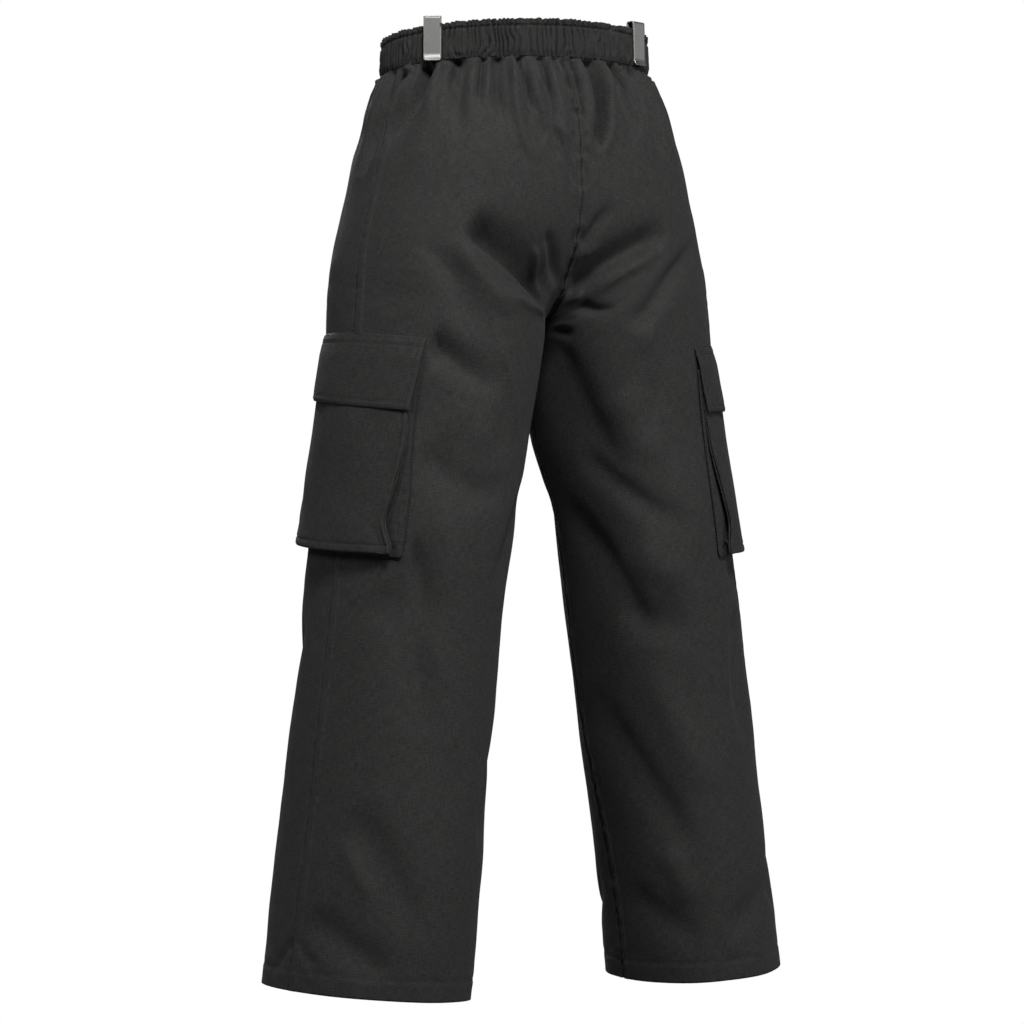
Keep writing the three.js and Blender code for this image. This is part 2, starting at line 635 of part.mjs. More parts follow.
function named(name, geometry, material) {
  const mesh = new THREE.Mesh(geometry, material);
  mesh.name = name;
  return mesh;
}

const trousers = new THREE.Group();
for (const [label, side] of [['left', 1], ['right', -1]]) {
  trousers.add(named(`back_${label}`, legPanel(side, SEAM_ROUND, SIDE_SEAM_ROUND - SEAM_ROUND), legCloth));
  trousers.add(named(`front_${label}`, legPanel(side, SIDE_SEAM_ROUND + SEAM_ROUND, 1 - SEAM_ROUND), legCloth));
  trousers.add(named(`pocket_face_${label}`, pocketFace(side), pocketCloth));
  trousers.add(named(`pocket_gusset_${label}`, pocketGusset(side), pocketCloth));
  trousers.add(named(`pocket_flap_${label}`, pocketFlap(side), pocketCloth));
}
trousers.add(named('waistband', waistband(), bandCloth));
for (const spec of CLIPS) trousers.add(clip(spec, clipMetal));

export default trousers;
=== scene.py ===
import math
from collections import namedtuple

import bmesh
import bpy
import numpy as np
from mathutils import Matrix, Vector


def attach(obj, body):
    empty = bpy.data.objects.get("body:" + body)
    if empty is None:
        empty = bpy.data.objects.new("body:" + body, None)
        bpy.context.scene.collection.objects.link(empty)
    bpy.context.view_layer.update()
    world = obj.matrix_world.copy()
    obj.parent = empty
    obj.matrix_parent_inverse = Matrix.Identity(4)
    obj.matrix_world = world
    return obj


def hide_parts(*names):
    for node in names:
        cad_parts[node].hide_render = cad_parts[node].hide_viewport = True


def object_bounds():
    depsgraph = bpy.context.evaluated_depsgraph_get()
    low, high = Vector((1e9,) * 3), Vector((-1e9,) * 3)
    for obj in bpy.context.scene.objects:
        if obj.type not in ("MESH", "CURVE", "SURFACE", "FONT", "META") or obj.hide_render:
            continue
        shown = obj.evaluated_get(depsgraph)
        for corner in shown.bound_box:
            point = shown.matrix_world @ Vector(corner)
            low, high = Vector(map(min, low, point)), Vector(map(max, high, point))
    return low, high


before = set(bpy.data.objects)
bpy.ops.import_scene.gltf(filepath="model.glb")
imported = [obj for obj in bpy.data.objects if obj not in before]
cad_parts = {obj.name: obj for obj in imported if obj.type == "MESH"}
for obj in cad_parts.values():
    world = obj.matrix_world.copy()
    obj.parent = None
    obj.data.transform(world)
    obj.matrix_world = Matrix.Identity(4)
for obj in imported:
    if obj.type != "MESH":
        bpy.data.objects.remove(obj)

cad_low, cad_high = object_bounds()


# Camera: a long lens 3.6 m away, level with the thighs, so that the trousers are seen from behind and
# a little from their left side. The frame holds them from the waist to just below the hems.
CAMERA_PLACE = Vector((1.8, 3.1177, -0.509))
CAMERA_TARGET = Vector((0.0027, -0.0016, -0.4796))
CAMERA_LENS = 120.375
SENSOR_WIDTH = 36

camera_data = bpy.data.cameras.new("camera")
camera_data.lens = CAMERA_LENS
camera_data.sensor_width = SENSOR_WIDTH
camera_data.clip_end = 50
camera = bpy.data.objects.new("camera", camera_data)
bpy.context.scene.collection.objects.link(camera)
camera.location = CAMERA_PLACE
camera.rotation_euler = (CAMERA_TARGET - CAMERA_PLACE).to_track_quat("-Z", "Y").to_euler()
bpy.context.scene.camera = camera


# Leg panels: two backs and two fronts of plain-woven cotton blend cloth, cut with a seat seam, a side
# seam and an inseam. They are sewn together, gathered into the waist seam and hemmed at the ankle.
# Every piece of cloth lies on one smooth surface a side: around is 0 at the seat seam and inseam,
# 0.5 at the side seam and 1 at the front seam, and down is millimetres below the waist seam.
LEFT = 1
RIGHT = -1
SIDE_NAMES = {LEFT: "left", RIGHT: "right"}
SIDE_SEAM = 0.5
CLOTH_WALL = 1.5

WAIST_SEAM_Z = -18
HIP_LENGTH = 112
CROTCH_CURVE_LENGTH = 200
CROTCH_DOWN = HIP_LENGTH + CROTCH_CURVE_LENGTH
HEM_DOWN = CROTCH_DOWN + 676
HEM_DEPTH = 20
CURVE_TOP_Z = -130
CROTCH_Z = -288
SIDE_DROP = 138
SIDE_BLEND_LENGTH = 150
WAIST_GIRTH = 400
FULL_GIRTH = 645
GIRTH_START = -20
GIRTH_LENGTH = 320

WAIST_BACK_RISE = 10
WAIST_FRONT_DIP = 15
WAIST_LEFT_DIP = 4
WAIST_SIDE_DIP = 4.5
WAIST_DEPTH = 105
WAIST_HALF = 148
WAIST_TILT_START = -40
WAIST_TILT_LENGTH = 150
HEM_SLOPE = 0.07
HEM_TILT_START = CROTCH_DOWN + 250
LEG_TURN = math.radians(18)
INSEAM_TURN = math.radians(19)
SIDE_SEAM_TURN = math.radians(8)
WAIST_SEAM_TURN = math.radians(-14)
RIGHT_LEG_TWIST = math.radians(18)
TWIST_START_LENGTH = 120
UNTWIST_START = 620
UNTWIST_LENGTH = 340
SIDE_TURN = 3
INSEAM_CLEAR = 0.5

HIP_COLUMNS = ("z", "half", "back", "front", "seat", "thigh")
HIP_ROWS = [
    (-290, 211, 138, 104, 30, 30),
    (-240, 207.5, 140, 109, 20, 15),
    (-210, 202, 141, 113, 16, 10),
    (-180, 196, 141, 116, 14, 6),
    (-150, 189.5, 139.5, 117, 12, 3),
    (-120, 182.5, 137, 117, 11, 1),
    (-90, 173.5, 133, 115, 9, 0),
    (-65, 166.5, 126, 111, 7, 0),
    (-40, 157, 117, 106, 4, 0),
    (-20, 149.5, 106, 101, 0, 0),
    (20, 148, 104, 99, 0, 0),
    (40, 147, 103, 98, 0, 0),
]
LEG_COLUMNS = ("z", "x", "y", "long", "short")
LEG_ROWS = [
    (-990, 201, 36.5, 118.5, 91.4),
    (-900, 190.4, 36.3, 118, 91),
    (-840, 183, 35.8, 117.3, 90.6),
    (-780, 175.2, 34.8, 115.5, 90.8),
    (-720, 167, 33, 112.8, 91.6),
    (-660, 159.6, 31.6, 111, 92),
    (-600, 152.2, 30, 111, 91.8),
    (-540, 144.6, 28.6, 113.5, 90.6),
    (-480, 136, 28, 115.5, 91.5),
    (-400, 121.5, 22, 115.5, 99.5),
    (-340, 112, 20.5, 118.5, 102),
    (-285, 104.7, 19, 122, 103),
    (-130, 95, 14, 130, 95),
]


def ease(t):
    """Smooth step from 0 to 1."""
    s = np.clip(t, 0, 1)
    return s * s * (3 - 2 * s)


def mix(a, b, t):
    """The value a share t of the way from a to b."""
    return a + (b - a) * t


def curve_through(rows, columns, name):
    """A smooth curve through one column of a table, with no overshoot between its rows."""
    at = np.array([row[0] for row in rows], float)
    value = np.array([row[columns.index(name)] for row in rows], float)
    step = np.diff(at)
    slope = np.diff(value) / step
    tangent = np.concatenate(([slope[0]], np.zeros(len(at) - 2), [slope[-1]]))
    for i in range(1, len(at) - 1):
        if slope[i - 1] * slope[i] > 0:
            below, above = step[i - 1], step[i]
            weights = (2 * above + below) / slope[i - 1] + (above + 2 * below) / slope[i]
            tangent[i] = 3 * (below + above) / weights

    def curve(z):
        z = np.clip(z, at[0], at[-1])
        i = np.clip(np.searchsorted(at, z, side="right") - 1, 0, len(step) - 1)
        t = (z - at[i]) / step[i]
        return (
            value[i] * (1 + 2 * t) * (1 - t) ** 2
            + value[i + 1] * t * t * (3 - 2 * t)
            + tangent[i] * step[i] * t * (1 - t) ** 2
            - tangent[i + 1] * step[i] * t * t * (1 - t)
        )

    return curve


hip = {name: curve_through(HIP_ROWS, HIP_COLUMNS, name) for name in HIP_COLUMNS[1:]}
leg = {name: curve_through(LEG_ROWS, LEG_COLUMNS, name) for name in LEG_COLUMNS[1:]}


def cloth(around, down, side):
    """The smooth surface of one side in millimetres, from the oval hips into the turned oval of the leg."""
    around, down = np.broadcast_arrays(np.asarray(around, float), np.asarray(down, float))
    across = np.sin(math.pi * around) ** 2
    part = np.clip((down - HIP_LENGTH) / CROTCH_CURVE_LENGTH, 0, 1)
    below = down - CROTCH_DOWN
    side_lag = CURVE_TOP_Z - CROTCH_Z - SIDE_DROP
    curve_z = CURVE_TOP_Z - (CURVE_TOP_Z - CROTCH_Z) * np.sin(part * math.pi / 2)
    inner = np.where(down < CROTCH_DOWN, curve_z, CROTCH_Z - below)
    side_z = CURVE_TOP_Z - SIDE_DROP * part
    outer = np.where(down < CROTCH_DOWN, side_z, side_z - below - side_lag * ease(below / SIDE_BLEND_LENGTH))
    z = np.where(down < HIP_LENGTH, WAIST_SEAM_Z - down, mix(inner, outer, across))
    to_leg = mix(1 - np.cos(part * math.pi / 2), ease(part), np.clip(SIDE_TURN * across, 0, 1))

    hip_angle = math.pi * around + WAIST_SEAM_TURN * np.sin(math.pi * around)
    behind = np.cos(hip_angle) > 0
    hip_x = hip["half"](z) * np.sin(hip_angle)
    hip_y = np.where(behind, hip["back"](z), hip["front"](z)) * np.cos(hip_angle)
    corner = np.sin(2 * hip_angle) ** 2 / np.hypot(hip_x, hip_y)
    fullness = 1 + corner * np.where(behind, hip["seat"](z), hip["thigh"](z))

    long, short = leg["long"](z), leg["short"](z)
    reach = np.hypot(long * math.sin(LEG_TURN), short * math.cos(LEG_TURN))
    centre = np.where(down < CROTCH_DOWN, reach, np.maximum(leg["x"](z), reach + INSEAM_CLEAR))
    angle = 2 * math.pi * around + mix(INSEAM_TURN, SIDE_SEAM_TURN, across)
    if side == RIGHT:
        started = mix(ease(below / TWIST_START_LENGTH), 1, across)
        angle = angle - RIGHT_LEG_TWIST * started * (1 - ease((down - UNTWIST_START) / UNTWIST_LENGTH))
    along_short, along_long = -short * np.cos(angle), long * np.sin(angle)
    leg_x = centre + along_short * math.cos(LEG_TURN) - along_long * math.sin(LEG_TURN)
    leg_y = leg["y"](z) + along_short * math.sin(LEG_TURN) + along_long * math.cos(LEG_TURN)

    x = mix(hip_x * fullness, leg_x, to_leg)
    y = mix(hip_y * fullness, leg_y, to_leg)
    waist_tilt = np.where(y > 0, WAIST_BACK_RISE, WAIST_FRONT_DIP) * y / WAIST_DEPTH
    waist_tilt = waist_tilt - WAIST_LEFT_DIP * side * x / WAIST_HALF - WAIST_SIDE_DIP
    waist_share = 1 - ease((down - WAIST_TILT_START) / WAIST_TILT_LENGTH)
    hem_share = ease((down - HEM_TILT_START) / (HEM_DOWN - HEM_TILT_START))
    z = z + waist_share * waist_tilt + hem_share * HEM_SLOPE * (x - centre)
    return np.stack([side * x, y, z], -1)


def outward(around, down, side):
    """Unit normals of the smooth surface, pointing out of the garment."""
    step = 0.001
    along = cloth(around + step, down, side) - cloth(around - step, down, side)
    below = cloth(around, down + 1, side) - cloth(around, down - 1, side)
    normal = np.cross(along, below) * side
    return normal / np.linalg.norm(normal, axis=-1, keepdims=True)


def girth(down):
    """Millimetres round one side for one step of round."""
    return mix(WAIST_GIRTH, FULL_GIRTH, ease((down - GIRTH_START) / GIRTH_LENGTH))


def patchy(x, y, size, seed):
    """Smooth uneven values between -1 and 1, with patches of the given size in millimetres."""
    grid = np.random.default_rng(seed).uniform(-1, 1, (64, 64))
    gx, gy = x / size, y / size
    ix, iy = np.floor(gx).astype(int), np.floor(gy).astype(int)
    fx, fy = ease(gx - ix), ease(gy - iy)
    top = mix(grid[ix % 64, iy % 64], grid[(ix + 1) % 64, iy % 64], fx)
    bottom = mix(grid[ix % 64, (iy + 1) % 64], grid[(ix + 1) % 64, (iy + 1) % 64], fx)
    return mix(top, bottom, fy)


# Folds, listed one by one: the line they follow as (round, down) points, how far they reach aside and how
# far they rise, in millimetres. Lean above 0 makes the side towards larger round the softer one on a
# line that runs down. Fades are the shares of the line over which the two ends die away.
Fold = namedtuple("Fold", "sides path reach rise lean fade_in fade_out grow", defaults=(0, 0.3, 0.3, 1))
BOTH = (LEFT, RIGHT)
FOLDS = [
    # Deep gathers that hang from the waist seam
    Fold((LEFT,), [(0.485, 4), (0.535, 60), (0.566, 124)], 9, -16, 0.2, 0.12, 0.45, 1.3),
    Fold((LEFT,), [(0.396, 4), (0.437, 44), (0.492, 104)], 8, -14, 0.3, 0.1, 0.45, 1.3),
    Fold((LEFT,), [(0.462, 14), (0.492, 60), (0.528, 130)], 8, 2.5, 0, 0.2, 0.5, 1.6),
    Fold((LEFT,), [(0.326, 0), (0.342, 44)], 6, -10, 0.2, 0.1, 0.6, 1.2),
    Fold((LEFT,), [(0.352, 6), (0.352, 60), (0.330, 104)], 7, 2, 0, 0.15, 0.5, 1.4),
    Fold((LEFT,), [(0.322, 20), (0.292, 90)], 7, -5, 0, 0.3, 0.5, 1.3),
    Fold((LEFT,), [(0.178, 6), (0.173, 49), (0.149, 89), (0.106, 114)], 5, 4.5, -0.3, 0.1, 0.4, 1.3),
    Fold((LEFT,), [(0.128, 14), (0.109, 48), (0.093, 78)], 5, 4, 0.3, 0.2, 0.4, 1.2),
    Fold((LEFT,), [(0.212, 0), (0.214, 34), (0.200, 76)], 5, -8, 0, 0.1, 0.5, 1.1),
    Fold((LEFT,), [(0.250, 0), (0.256, 26), (0.262, 52)], 4.5, -7, 0, 0.1, 0.5, 1.1),
    Fold((LEFT,), [(0.152, 0), (0.146, 26), (0.130, 60)], 4, -7, 0, 0.1, 0.5, 1.1),
    Fold((LEFT,), [(0.090, 0), (0.086, 24), (0.070, 48)], 4, -6, 0, 0.1, 0.5, 1.1),
    Fold((LEFT,), [(0.040, 0), (0.042, 22), (0.034, 46)], 4, -6, 0, 0.1, 0.5, 1.1),
    Fold((LEFT,), [(0.121, 44), (0.102, 92)], 4.5, -4, 0, 0.3, 0.4, 1.1),
    Fold((LEFT,), [(0.085, 64), (0.026, 86)], 5, 2, 0, 0.3, 0.4, 1),
    Fold((LEFT,), [(0.076, 72), (0.038, 111), (0.022, 136)], 5, -4.5, 0, 0.25, 0.4, 1),
    Fold((LEFT,), [(0.064, 98), (0.016, 140)], 4.5, 3, 0, 0.3, 0.4, 1),
    Fold((RIGHT,), [(0.070, 0), (0.074, 40), (0.064, 66), (0.046, 96)], 6, -19, 0.15, 0.08, 0.3, 1),
    Fold((RIGHT,), [(0.124, 6), (0.104, 43), (0.090, 74), (0.050, 104)], 5.5, 3.5, 0, 0.2, 0.35, 1),
    Fold((RIGHT,), [(0.052, 8), (0.052, 40), (0.040, 70)], 5, 2.4, 0, 0.2, 0.4, 1),
    Fold((RIGHT,), [(0.014, 90), (0.034, 110)], 4, -2.4, 0, 0.3, 0.4, 1),
    Fold((RIGHT,), [(0.236, 12), (0.216, 56), (0.221, 100)], 5.5, 4, 0, 0.2, 0.5, 1.2),
    Fold((RIGHT,), [(0.272, 2), (0.256, 60), (0.262, 96)], 7, -10, 0, 0.12, 0.5, 1.2),
    Fold((RIGHT,), [(0.212, 0), (0.200, 30), (0.196, 56)], 4.5, -8, 0, 0.1, 0.5, 1.1),
    Fold((RIGHT,), [(0.172, 0), (0.164, 40), (0.178, 78)], 6, -10, 0, 0.12, 0.5, 1.2),
    Fold((RIGHT,), [(0.300, 30), (0.290, 66), (0.322, 124)], 7, 2.6, 0, 0.25, 0.5, 1.3),
    Fold((RIGHT,), [(0.345, 2), (0.352, 40), (0.372, 84)], 6, -9, 0.2, 0.12, 0.5, 1.3),
    Fold((RIGHT,), [(0.415, 6), (0.440, 52), (0.470, 100)], 6.5, -9, 0.2, 0.15, 0.5, 1.5),
    Fold((RIGHT,), [(0.512, 16), (0.540, 60), (0.566, 112)], 6, -5, 0.2, 0.2, 0.5, 1.5),
    Fold(BOTH, [(0.640, 8), (0.655, 50), (0.700, 100)], 6, -4, 0.2, 0.2, 0.5, 1.5),
    Fold(BOTH, [(0.760, 6), (0.765, 40), (0.780, 84)], 5.5, -3, 0, 0.2, 0.5, 1.4),
    Fold(BOTH, [(0.900, 8), (0.905, 46), (0.930, 96)], 5, -4, 0, 0.2, 0.5, 1.2),
    # Seat and crotch
    Fold((LEFT,), [(0.286, 190), (0.232, 206), (0.160, 234), (0.084, 262)], 15, -24, -0.68, 0.22, 0.2, 2.0),
    Fold((LEFT,), [(0.292, 196), (0.284, 240), (0.252, 288), (0.236, 320)], 15, 5, 0, 0.25, 0.4, 1.5),
    Fold((LEFT,), [(0.240, 262), (0.180, 282), (0.110, 276)], 16, 5, 0, 0.35, 0.3, 1),
    Fold((LEFT,), [(0.092, 168), (0.064, 196), (0.036, 226)], 6, -6, -0.3, 0.25, 0.3, 1.3),
    Fold((LEFT,), [(0.118, 186), (0.104, 214), (0.084, 250)], 4, 5, -0.2, 0.2, 0.3, 1.2),
    Fold((RIGHT,), [(0.252, 176), (0.150, 190), (0.074, 206), (0.006, 228)], 15, -15, -0.3, 0.25, 0.12, 1.1),
    Fold((RIGHT,), [(0.232, 200), (0.150, 208), (0.075, 226)], 13, 3.5, 0, 0.3, 0.3, 1),
    Fold((RIGHT,), [(0.012, 182), (0.048, 158), (0.088, 140)], 6, -6.5, 0, 0.2, 0.5, 1.2),
    Fold((RIGHT,), [(0.030, 192), (0.060, 178)], 5, 2.5, 0, 0.3, 0.4, 1),
    Fold((RIGHT,), [(0.050, 244), (0.114, 266), (0.186, 284)], 9, -6, 0, 0.25, 0.5, 1.3),
    Fold((RIGHT,), [(0.018, 236), (0.060, 232)], 7, 4, 0, 0.4, 0.4, 1),
    Fold((RIGHT,), [(0.050, 306), (0.110, 326)], 8, -5, 0, 0.3, 0.5, 1.2),
    Fold((LEFT,), [(0.382, 210), (0.340, 244), (0.322, 300), (0.292, 338), (0.250, 366)], 20, -7, -0.2, 0.35, 0.45, 1),
    Fold((RIGHT,), [(0.390, 200), (0.290, 240), (0.260, 292), (0.228, 332)], 20, -8, 0.1, 0.3, 0.3, 1),
    Fold((RIGHT,), [(0.300, 282), (0.268, 320), (0.240, 352)], 16, 4, 0, 0.3, 0.4, 1),
    Fold(BOTH, [(0.985, 215), (0.840, 262)], 17, -9, 0, 0.3, 0.3, 1),
    Fold(BOTH, [(0.900, 150), (0.760, 200)], 16, -5.5, 0, 0.3, 0.3, 1),
    Fold(BOTH, [(0.960, 256), (0.900, 306), (0.820, 340)], 14, -6, 0, 0.3, 0.3, 1),
    # Left leg
    Fold((LEFT,), [(0.378, 350), (0.318, 370), (0.236, 392)], 9, -12, -0.35, 0.1, 0.45, 1.6),
    Fold((LEFT,), [(0.262, 340), (0.214, 380), (0.168, 436)], 4.5, 3.6, 0.4, 0.25, 0.4, 1),
    Fold((LEFT,), [(0.214, 436), (0.196, 466), (0.190, 500)], 4.5, 2.4, 0.4, 0.3, 0.4, 1),
    Fold((LEFT,), [(0.366, 440), (0.324, 466), (0.250, 484), (0.160, 474)], 17, -5.5, 0.1, 0.25, 0.35, 1),
    Fold((LEFT,), [(0.340, 400), (0.285, 420), (0.225, 428)], 20, 4, 0, 0.3, 0.3, 1),
    Fold((LEFT,), [(0.392, 530), (0.350, 566), (0.318, 630)], 12, -8, 0.1, 0.2, 0.4, 1.4),
    Fold((LEFT,), [(0.335, 500), (0.300, 540), (0.285, 590)], 12, 3, 0, 0.3, 0.4, 1),
    Fold((LEFT,), [(0.410, 572), (0.365, 615), (0.318, 675), (0.285, 760)], 24, -6, 0.1, 0.25, 0.4, 1.1),
    Fold((LEFT,), [(0.330, 620), (0.275, 690), (0.250, 780)], 18, 3.5, 0, 0.3, 0.4, 1),
    Fold((LEFT,), [(0.420, 800), (0.350, 866), (0.275, 934)], 21, -5.5, 0.1, 0.3, 0.4, 1),
    Fold((LEFT,), [(0.436, 832), (0.368, 895)], 9, 3, 0, 0.3, 0.4, 1),
    Fold((LEFT,), [(0.478, 910), (0.406, 936), (0.330, 964)], 15, -5, 0.1, 0.25, 0.3, 1),
    Fold((LEFT,), [(0.497, 936), (0.520, 955), (0.540, 976)], 4.5, -3, 0, 0.2, 0.3, 1),
    Fold((LEFT,), [(0.494, 936), (0.475, 950), (0.452, 962)], 4, -3, 0, 0.2, 0.3, 1),
    # Right leg
    Fold((RIGHT,), [(0.040, 318), (0.100, 366), (0.160, 420), (0.190, 470)], 24, -9, -0.3, 0.2, 0.35, 1.1),
    Fold((RIGHT,), [(0.210, 376), (0.240, 420), (0.300, 450)], 24, 6, 0, 0.3, 0.4, 1),
    Fold((RIGHT,), [(0.110, 440), (0.170, 470), (0.240, 500), (0.330, 520)], 13, -6, -0.1, 0.3, 0.35, 1.2),
    Fold((RIGHT,), [(0.290, 360), (0.262, 410), (0.262, 446)], 15, -3, 0, 0.3, 0.4, 1),
    Fold((RIGHT,), [(0.045, 488), (0.115, 536), (0.170, 590), (0.210, 640)], 19, -6.5, -0.25, 0.25, 0.35, 1.1),
    Fold((RIGHT,), [(0.190, 536), (0.240, 562), (0.300, 576)], 22, 5.5, 0, 0.3, 0.4, 1),
    Fold((RIGHT,), [(0.150, 600), (0.215, 618), (0.310, 622)], 19, -4.5, 0, 0.35, 0.35, 1),
    Fold((RIGHT,), [(0.060, 680), (0.115, 752), (0.160, 810), (0.190, 860)], 24, -6.5, -0.2, 0.3, 0.35, 1),
    Fold((RIGHT,), [(0.190, 660), (0.230, 740), (0.240, 800)], 24, 5, 0, 0.3, 0.4, 1),
    Fold((RIGHT,), [(0.042, 890), (0.100, 918), (0.190, 942)], 18, -5, -0.1, 0.3, 0.35, 1),
    Fold((RIGHT,), [(0.140, 846), (0.170, 910)], 17, 4.5, 0, 0.3, 0.4, 1),
    Fold((RIGHT,), [(0.220, 940), (0.344, 910), (0.430, 896)], 15, -5, 0.1, 0.25, 0.4, 1),
    # Fronts and outer legs, which hang the same way
    Fold(BOTH, [(0.940, 340), (0.860, 405), (0.770, 440)], 16, -8, 0.3, 0.25, 0.35, 1),
    Fold(BOTH, [(0.950, 470), (0.880, 540), (0.780, 585)], 17, -8, 0.3, 0.25, 0.35, 1),
    Fold(BOTH, [(0.740, 600), (0.810, 665), (0.850, 750)], 18, -7, 0.2, 0.3, 0.35, 1),
    Fold(BOTH, [(0.940, 650), (0.880, 720), (0.850, 790)], 16, -6.5, 0.2, 0.3, 0.35, 1),
    Fold(BOTH, [(0.590, 606), (0.640, 670), (0.680, 760)], 16, -6.5, -0.2, 0.3, 0.35, 1),
    Fold(BOTH, [(0.700, 850), (0.780, 900), (0.840, 950)], 14, -6, 0.2, 0.3, 0.35, 1),
    Fold(BOTH, [(0.960, 880), (0.900, 920), (0.850, 940)], 10, -3.5, 0.2, 0.3, 0.35, 1),
    Fold((RIGHT,), [(0.440, 600), (0.400, 660), (0.380, 760)], 17, -6.5, 0.2, 0.3, 0.35, 1),
    Fold((RIGHT,), [(0.470, 830), (0.420, 880), (0.400, 930)], 13, -6, 0.2, 0.3, 0.35, 1),
    Fold((LEFT,), [(0.080, 470), (0.140, 520), (0.180, 590)], 15, -6, -0.2, 0.3, 0.35, 1),
    Fold((LEFT,), [(0.060, 700), (0.120, 780), (0.150, 850)], 15, -6, -0.2, 0.3, 0.35, 1),
]
FOLD_STEPS = 8
FOLD_SPREAD = 3


def smooth_line(points, steps):
    """Points along a smooth line through the given ones."""
    knots = np.array([points[0], *points, points[-1]], float)
    line = []
    for i in range(len(points) - 1):
        a, b, c, d = knots[i : i + 4]
        for t in np.arange(steps) / steps:
            line.append(
                b
                + 0.5 * t * (c - a)
                + t * t * (a - 2.5 * b + 2 * c - 0.5 * d)
                + t * t * t * (1.5 * b - 0.5 * a - 1.5 * c + 0.5 * d)
            )
    return np.array([*line, points[-1]])


def fold_rise(fold, around, down):
    """How far one fold lifts each point: soft across its line, dying away at both ends."""
    line = smooth_line(fold.path, FOLD_STEPS)
    width = girth(down)
    spread = FOLD_SPREAD * fold.reach * max(1, fold.grow) * (1 + abs(fold.lean))
    near = (down > line[:, 1].min() - spread) & (down < line[:, 1].max() + spread)
    near &= (around - line[:, 0].min()) * width > -spread
    near &= (around - line[:, 0].max()) * width < spread
    total = np.zeros(around.shape)
    if not near.any():
        return total
    u, v, width = around[near], down[near], width[near]
    closest = np.full(u.shape, np.inf)
    aside = np.zeros(u.shape)
    along = np.zeros(u.shape)
    for i in range(len(line) - 1):
        line_x, line_y = (line[i + 1, 0] - line[i, 0]) * width, line[i + 1, 1] - line[i, 1]
        off_x, off_y = (u - line[i, 0]) * width, v - line[i, 1]
        length = np.hypot(line_x, line_y)
        at = (off_x * line_x + off_y * line_y) / length**2
        held = np.clip(at, 0, 1)
        distance = np.hypot(off_x - held * line_x, off_y - held * line_y)
        nearer = distance < closest
        closest = np.where(nearer, distance, closest)
        aside = np.where(nearer, (off_x * line_y - off_y * line_x) / length, aside)
        first, last = i == 0, i == len(line) - 2
        reached = np.clip(at, -1 if first else 0, 2 if last else 1)
        along = np.where(nearer, (i + reached) / (len(line) - 1), along)
    softer = 1 + fold.lean * np.tanh(2 * aside / fold.reach)
    reach = fold.reach * softer * mix(1, fold.grow, np.clip(along, 0, 1))
    ends = ease(along / fold.fade_in) * ease((1 - along) / fold.fade_out)
    total[near] = fold.rise * ends * np.exp(-((aside / reach) ** 2))
    return total


# Gathers in three sizes below the waist seam: the smallest die away first
Gathers = namedtuple("Gathers", "pitch depth length seed")
GATHERS = [Gathers(9, 3.2, 24, 3), Gathers(16, 8, 66, 11), Gathers(33, 12, 128, 23)]
SEAM_PUFF = 4


def gather_rise(around, down, side):
    """Gathers hang from the waist seam: broad soft ridges with narrow valleys between them."""
    run = around * WAIST_GIRTH
    total = SEAM_PUFF * ease(down / 9) * (1 - ease((down - 9) / 70))
    for size in GATHERS:
        drift = patchy(run, np.zeros_like(run), size.pitch * 2.3, size.seed + side)
        sway = patchy(run, down, size.pitch * 3, size.seed + side + 40)
        phase = math.pi * (run / size.pitch + 0.75 * drift + 0.2 * sway * down / size.length)
        ridge = (np.sin(phase) ** 2 + 0.01) ** 0.38 - 0.8
        uneven = 0.5 + 0.5 * patchy(run, np.zeros_like(run), size.pitch * 1.6, size.seed + side + 7)
        length = size.length * (0.55 + 0.8 * uneven)
        fade = (1 - ease(down / length)) * mix(0.12, 1, ease(down / 8))
        total += size.depth * (0.35 + 0.9 * uneven) * ridge * fade
    return total


# The cloth lies flat where the pockets are sewn on
POCKET_FLAT = {"round": (0.358, 0.684), "round_edge": 0.018, "down": (300, 580), "down_edge": 34}
LOOSE_SWELLS = ((120, 1.9, 5), (62, 0.9, 6), (27, 0.34, 8), (13, 0.14, 9))
SEAM_GROOVE = {0: 3, SIDE_SEAM: 1.3, 1: 1.4}
SEAM_STITCHED = {0: (1.8, 7.5), SIDE_SEAM: (2.2,), 1: (1.8,)}
STITCH_DENT = 0.55
SEAM_RIDGE = 1.5
SEAM_ALLOWANCE = 9
SEAM_PUCKER = {0: 2.6, SIDE_SEAM: 0.5, 1: 0.8}
SEAT_VALLEY = 5
SEAM_TUCK = 1.4


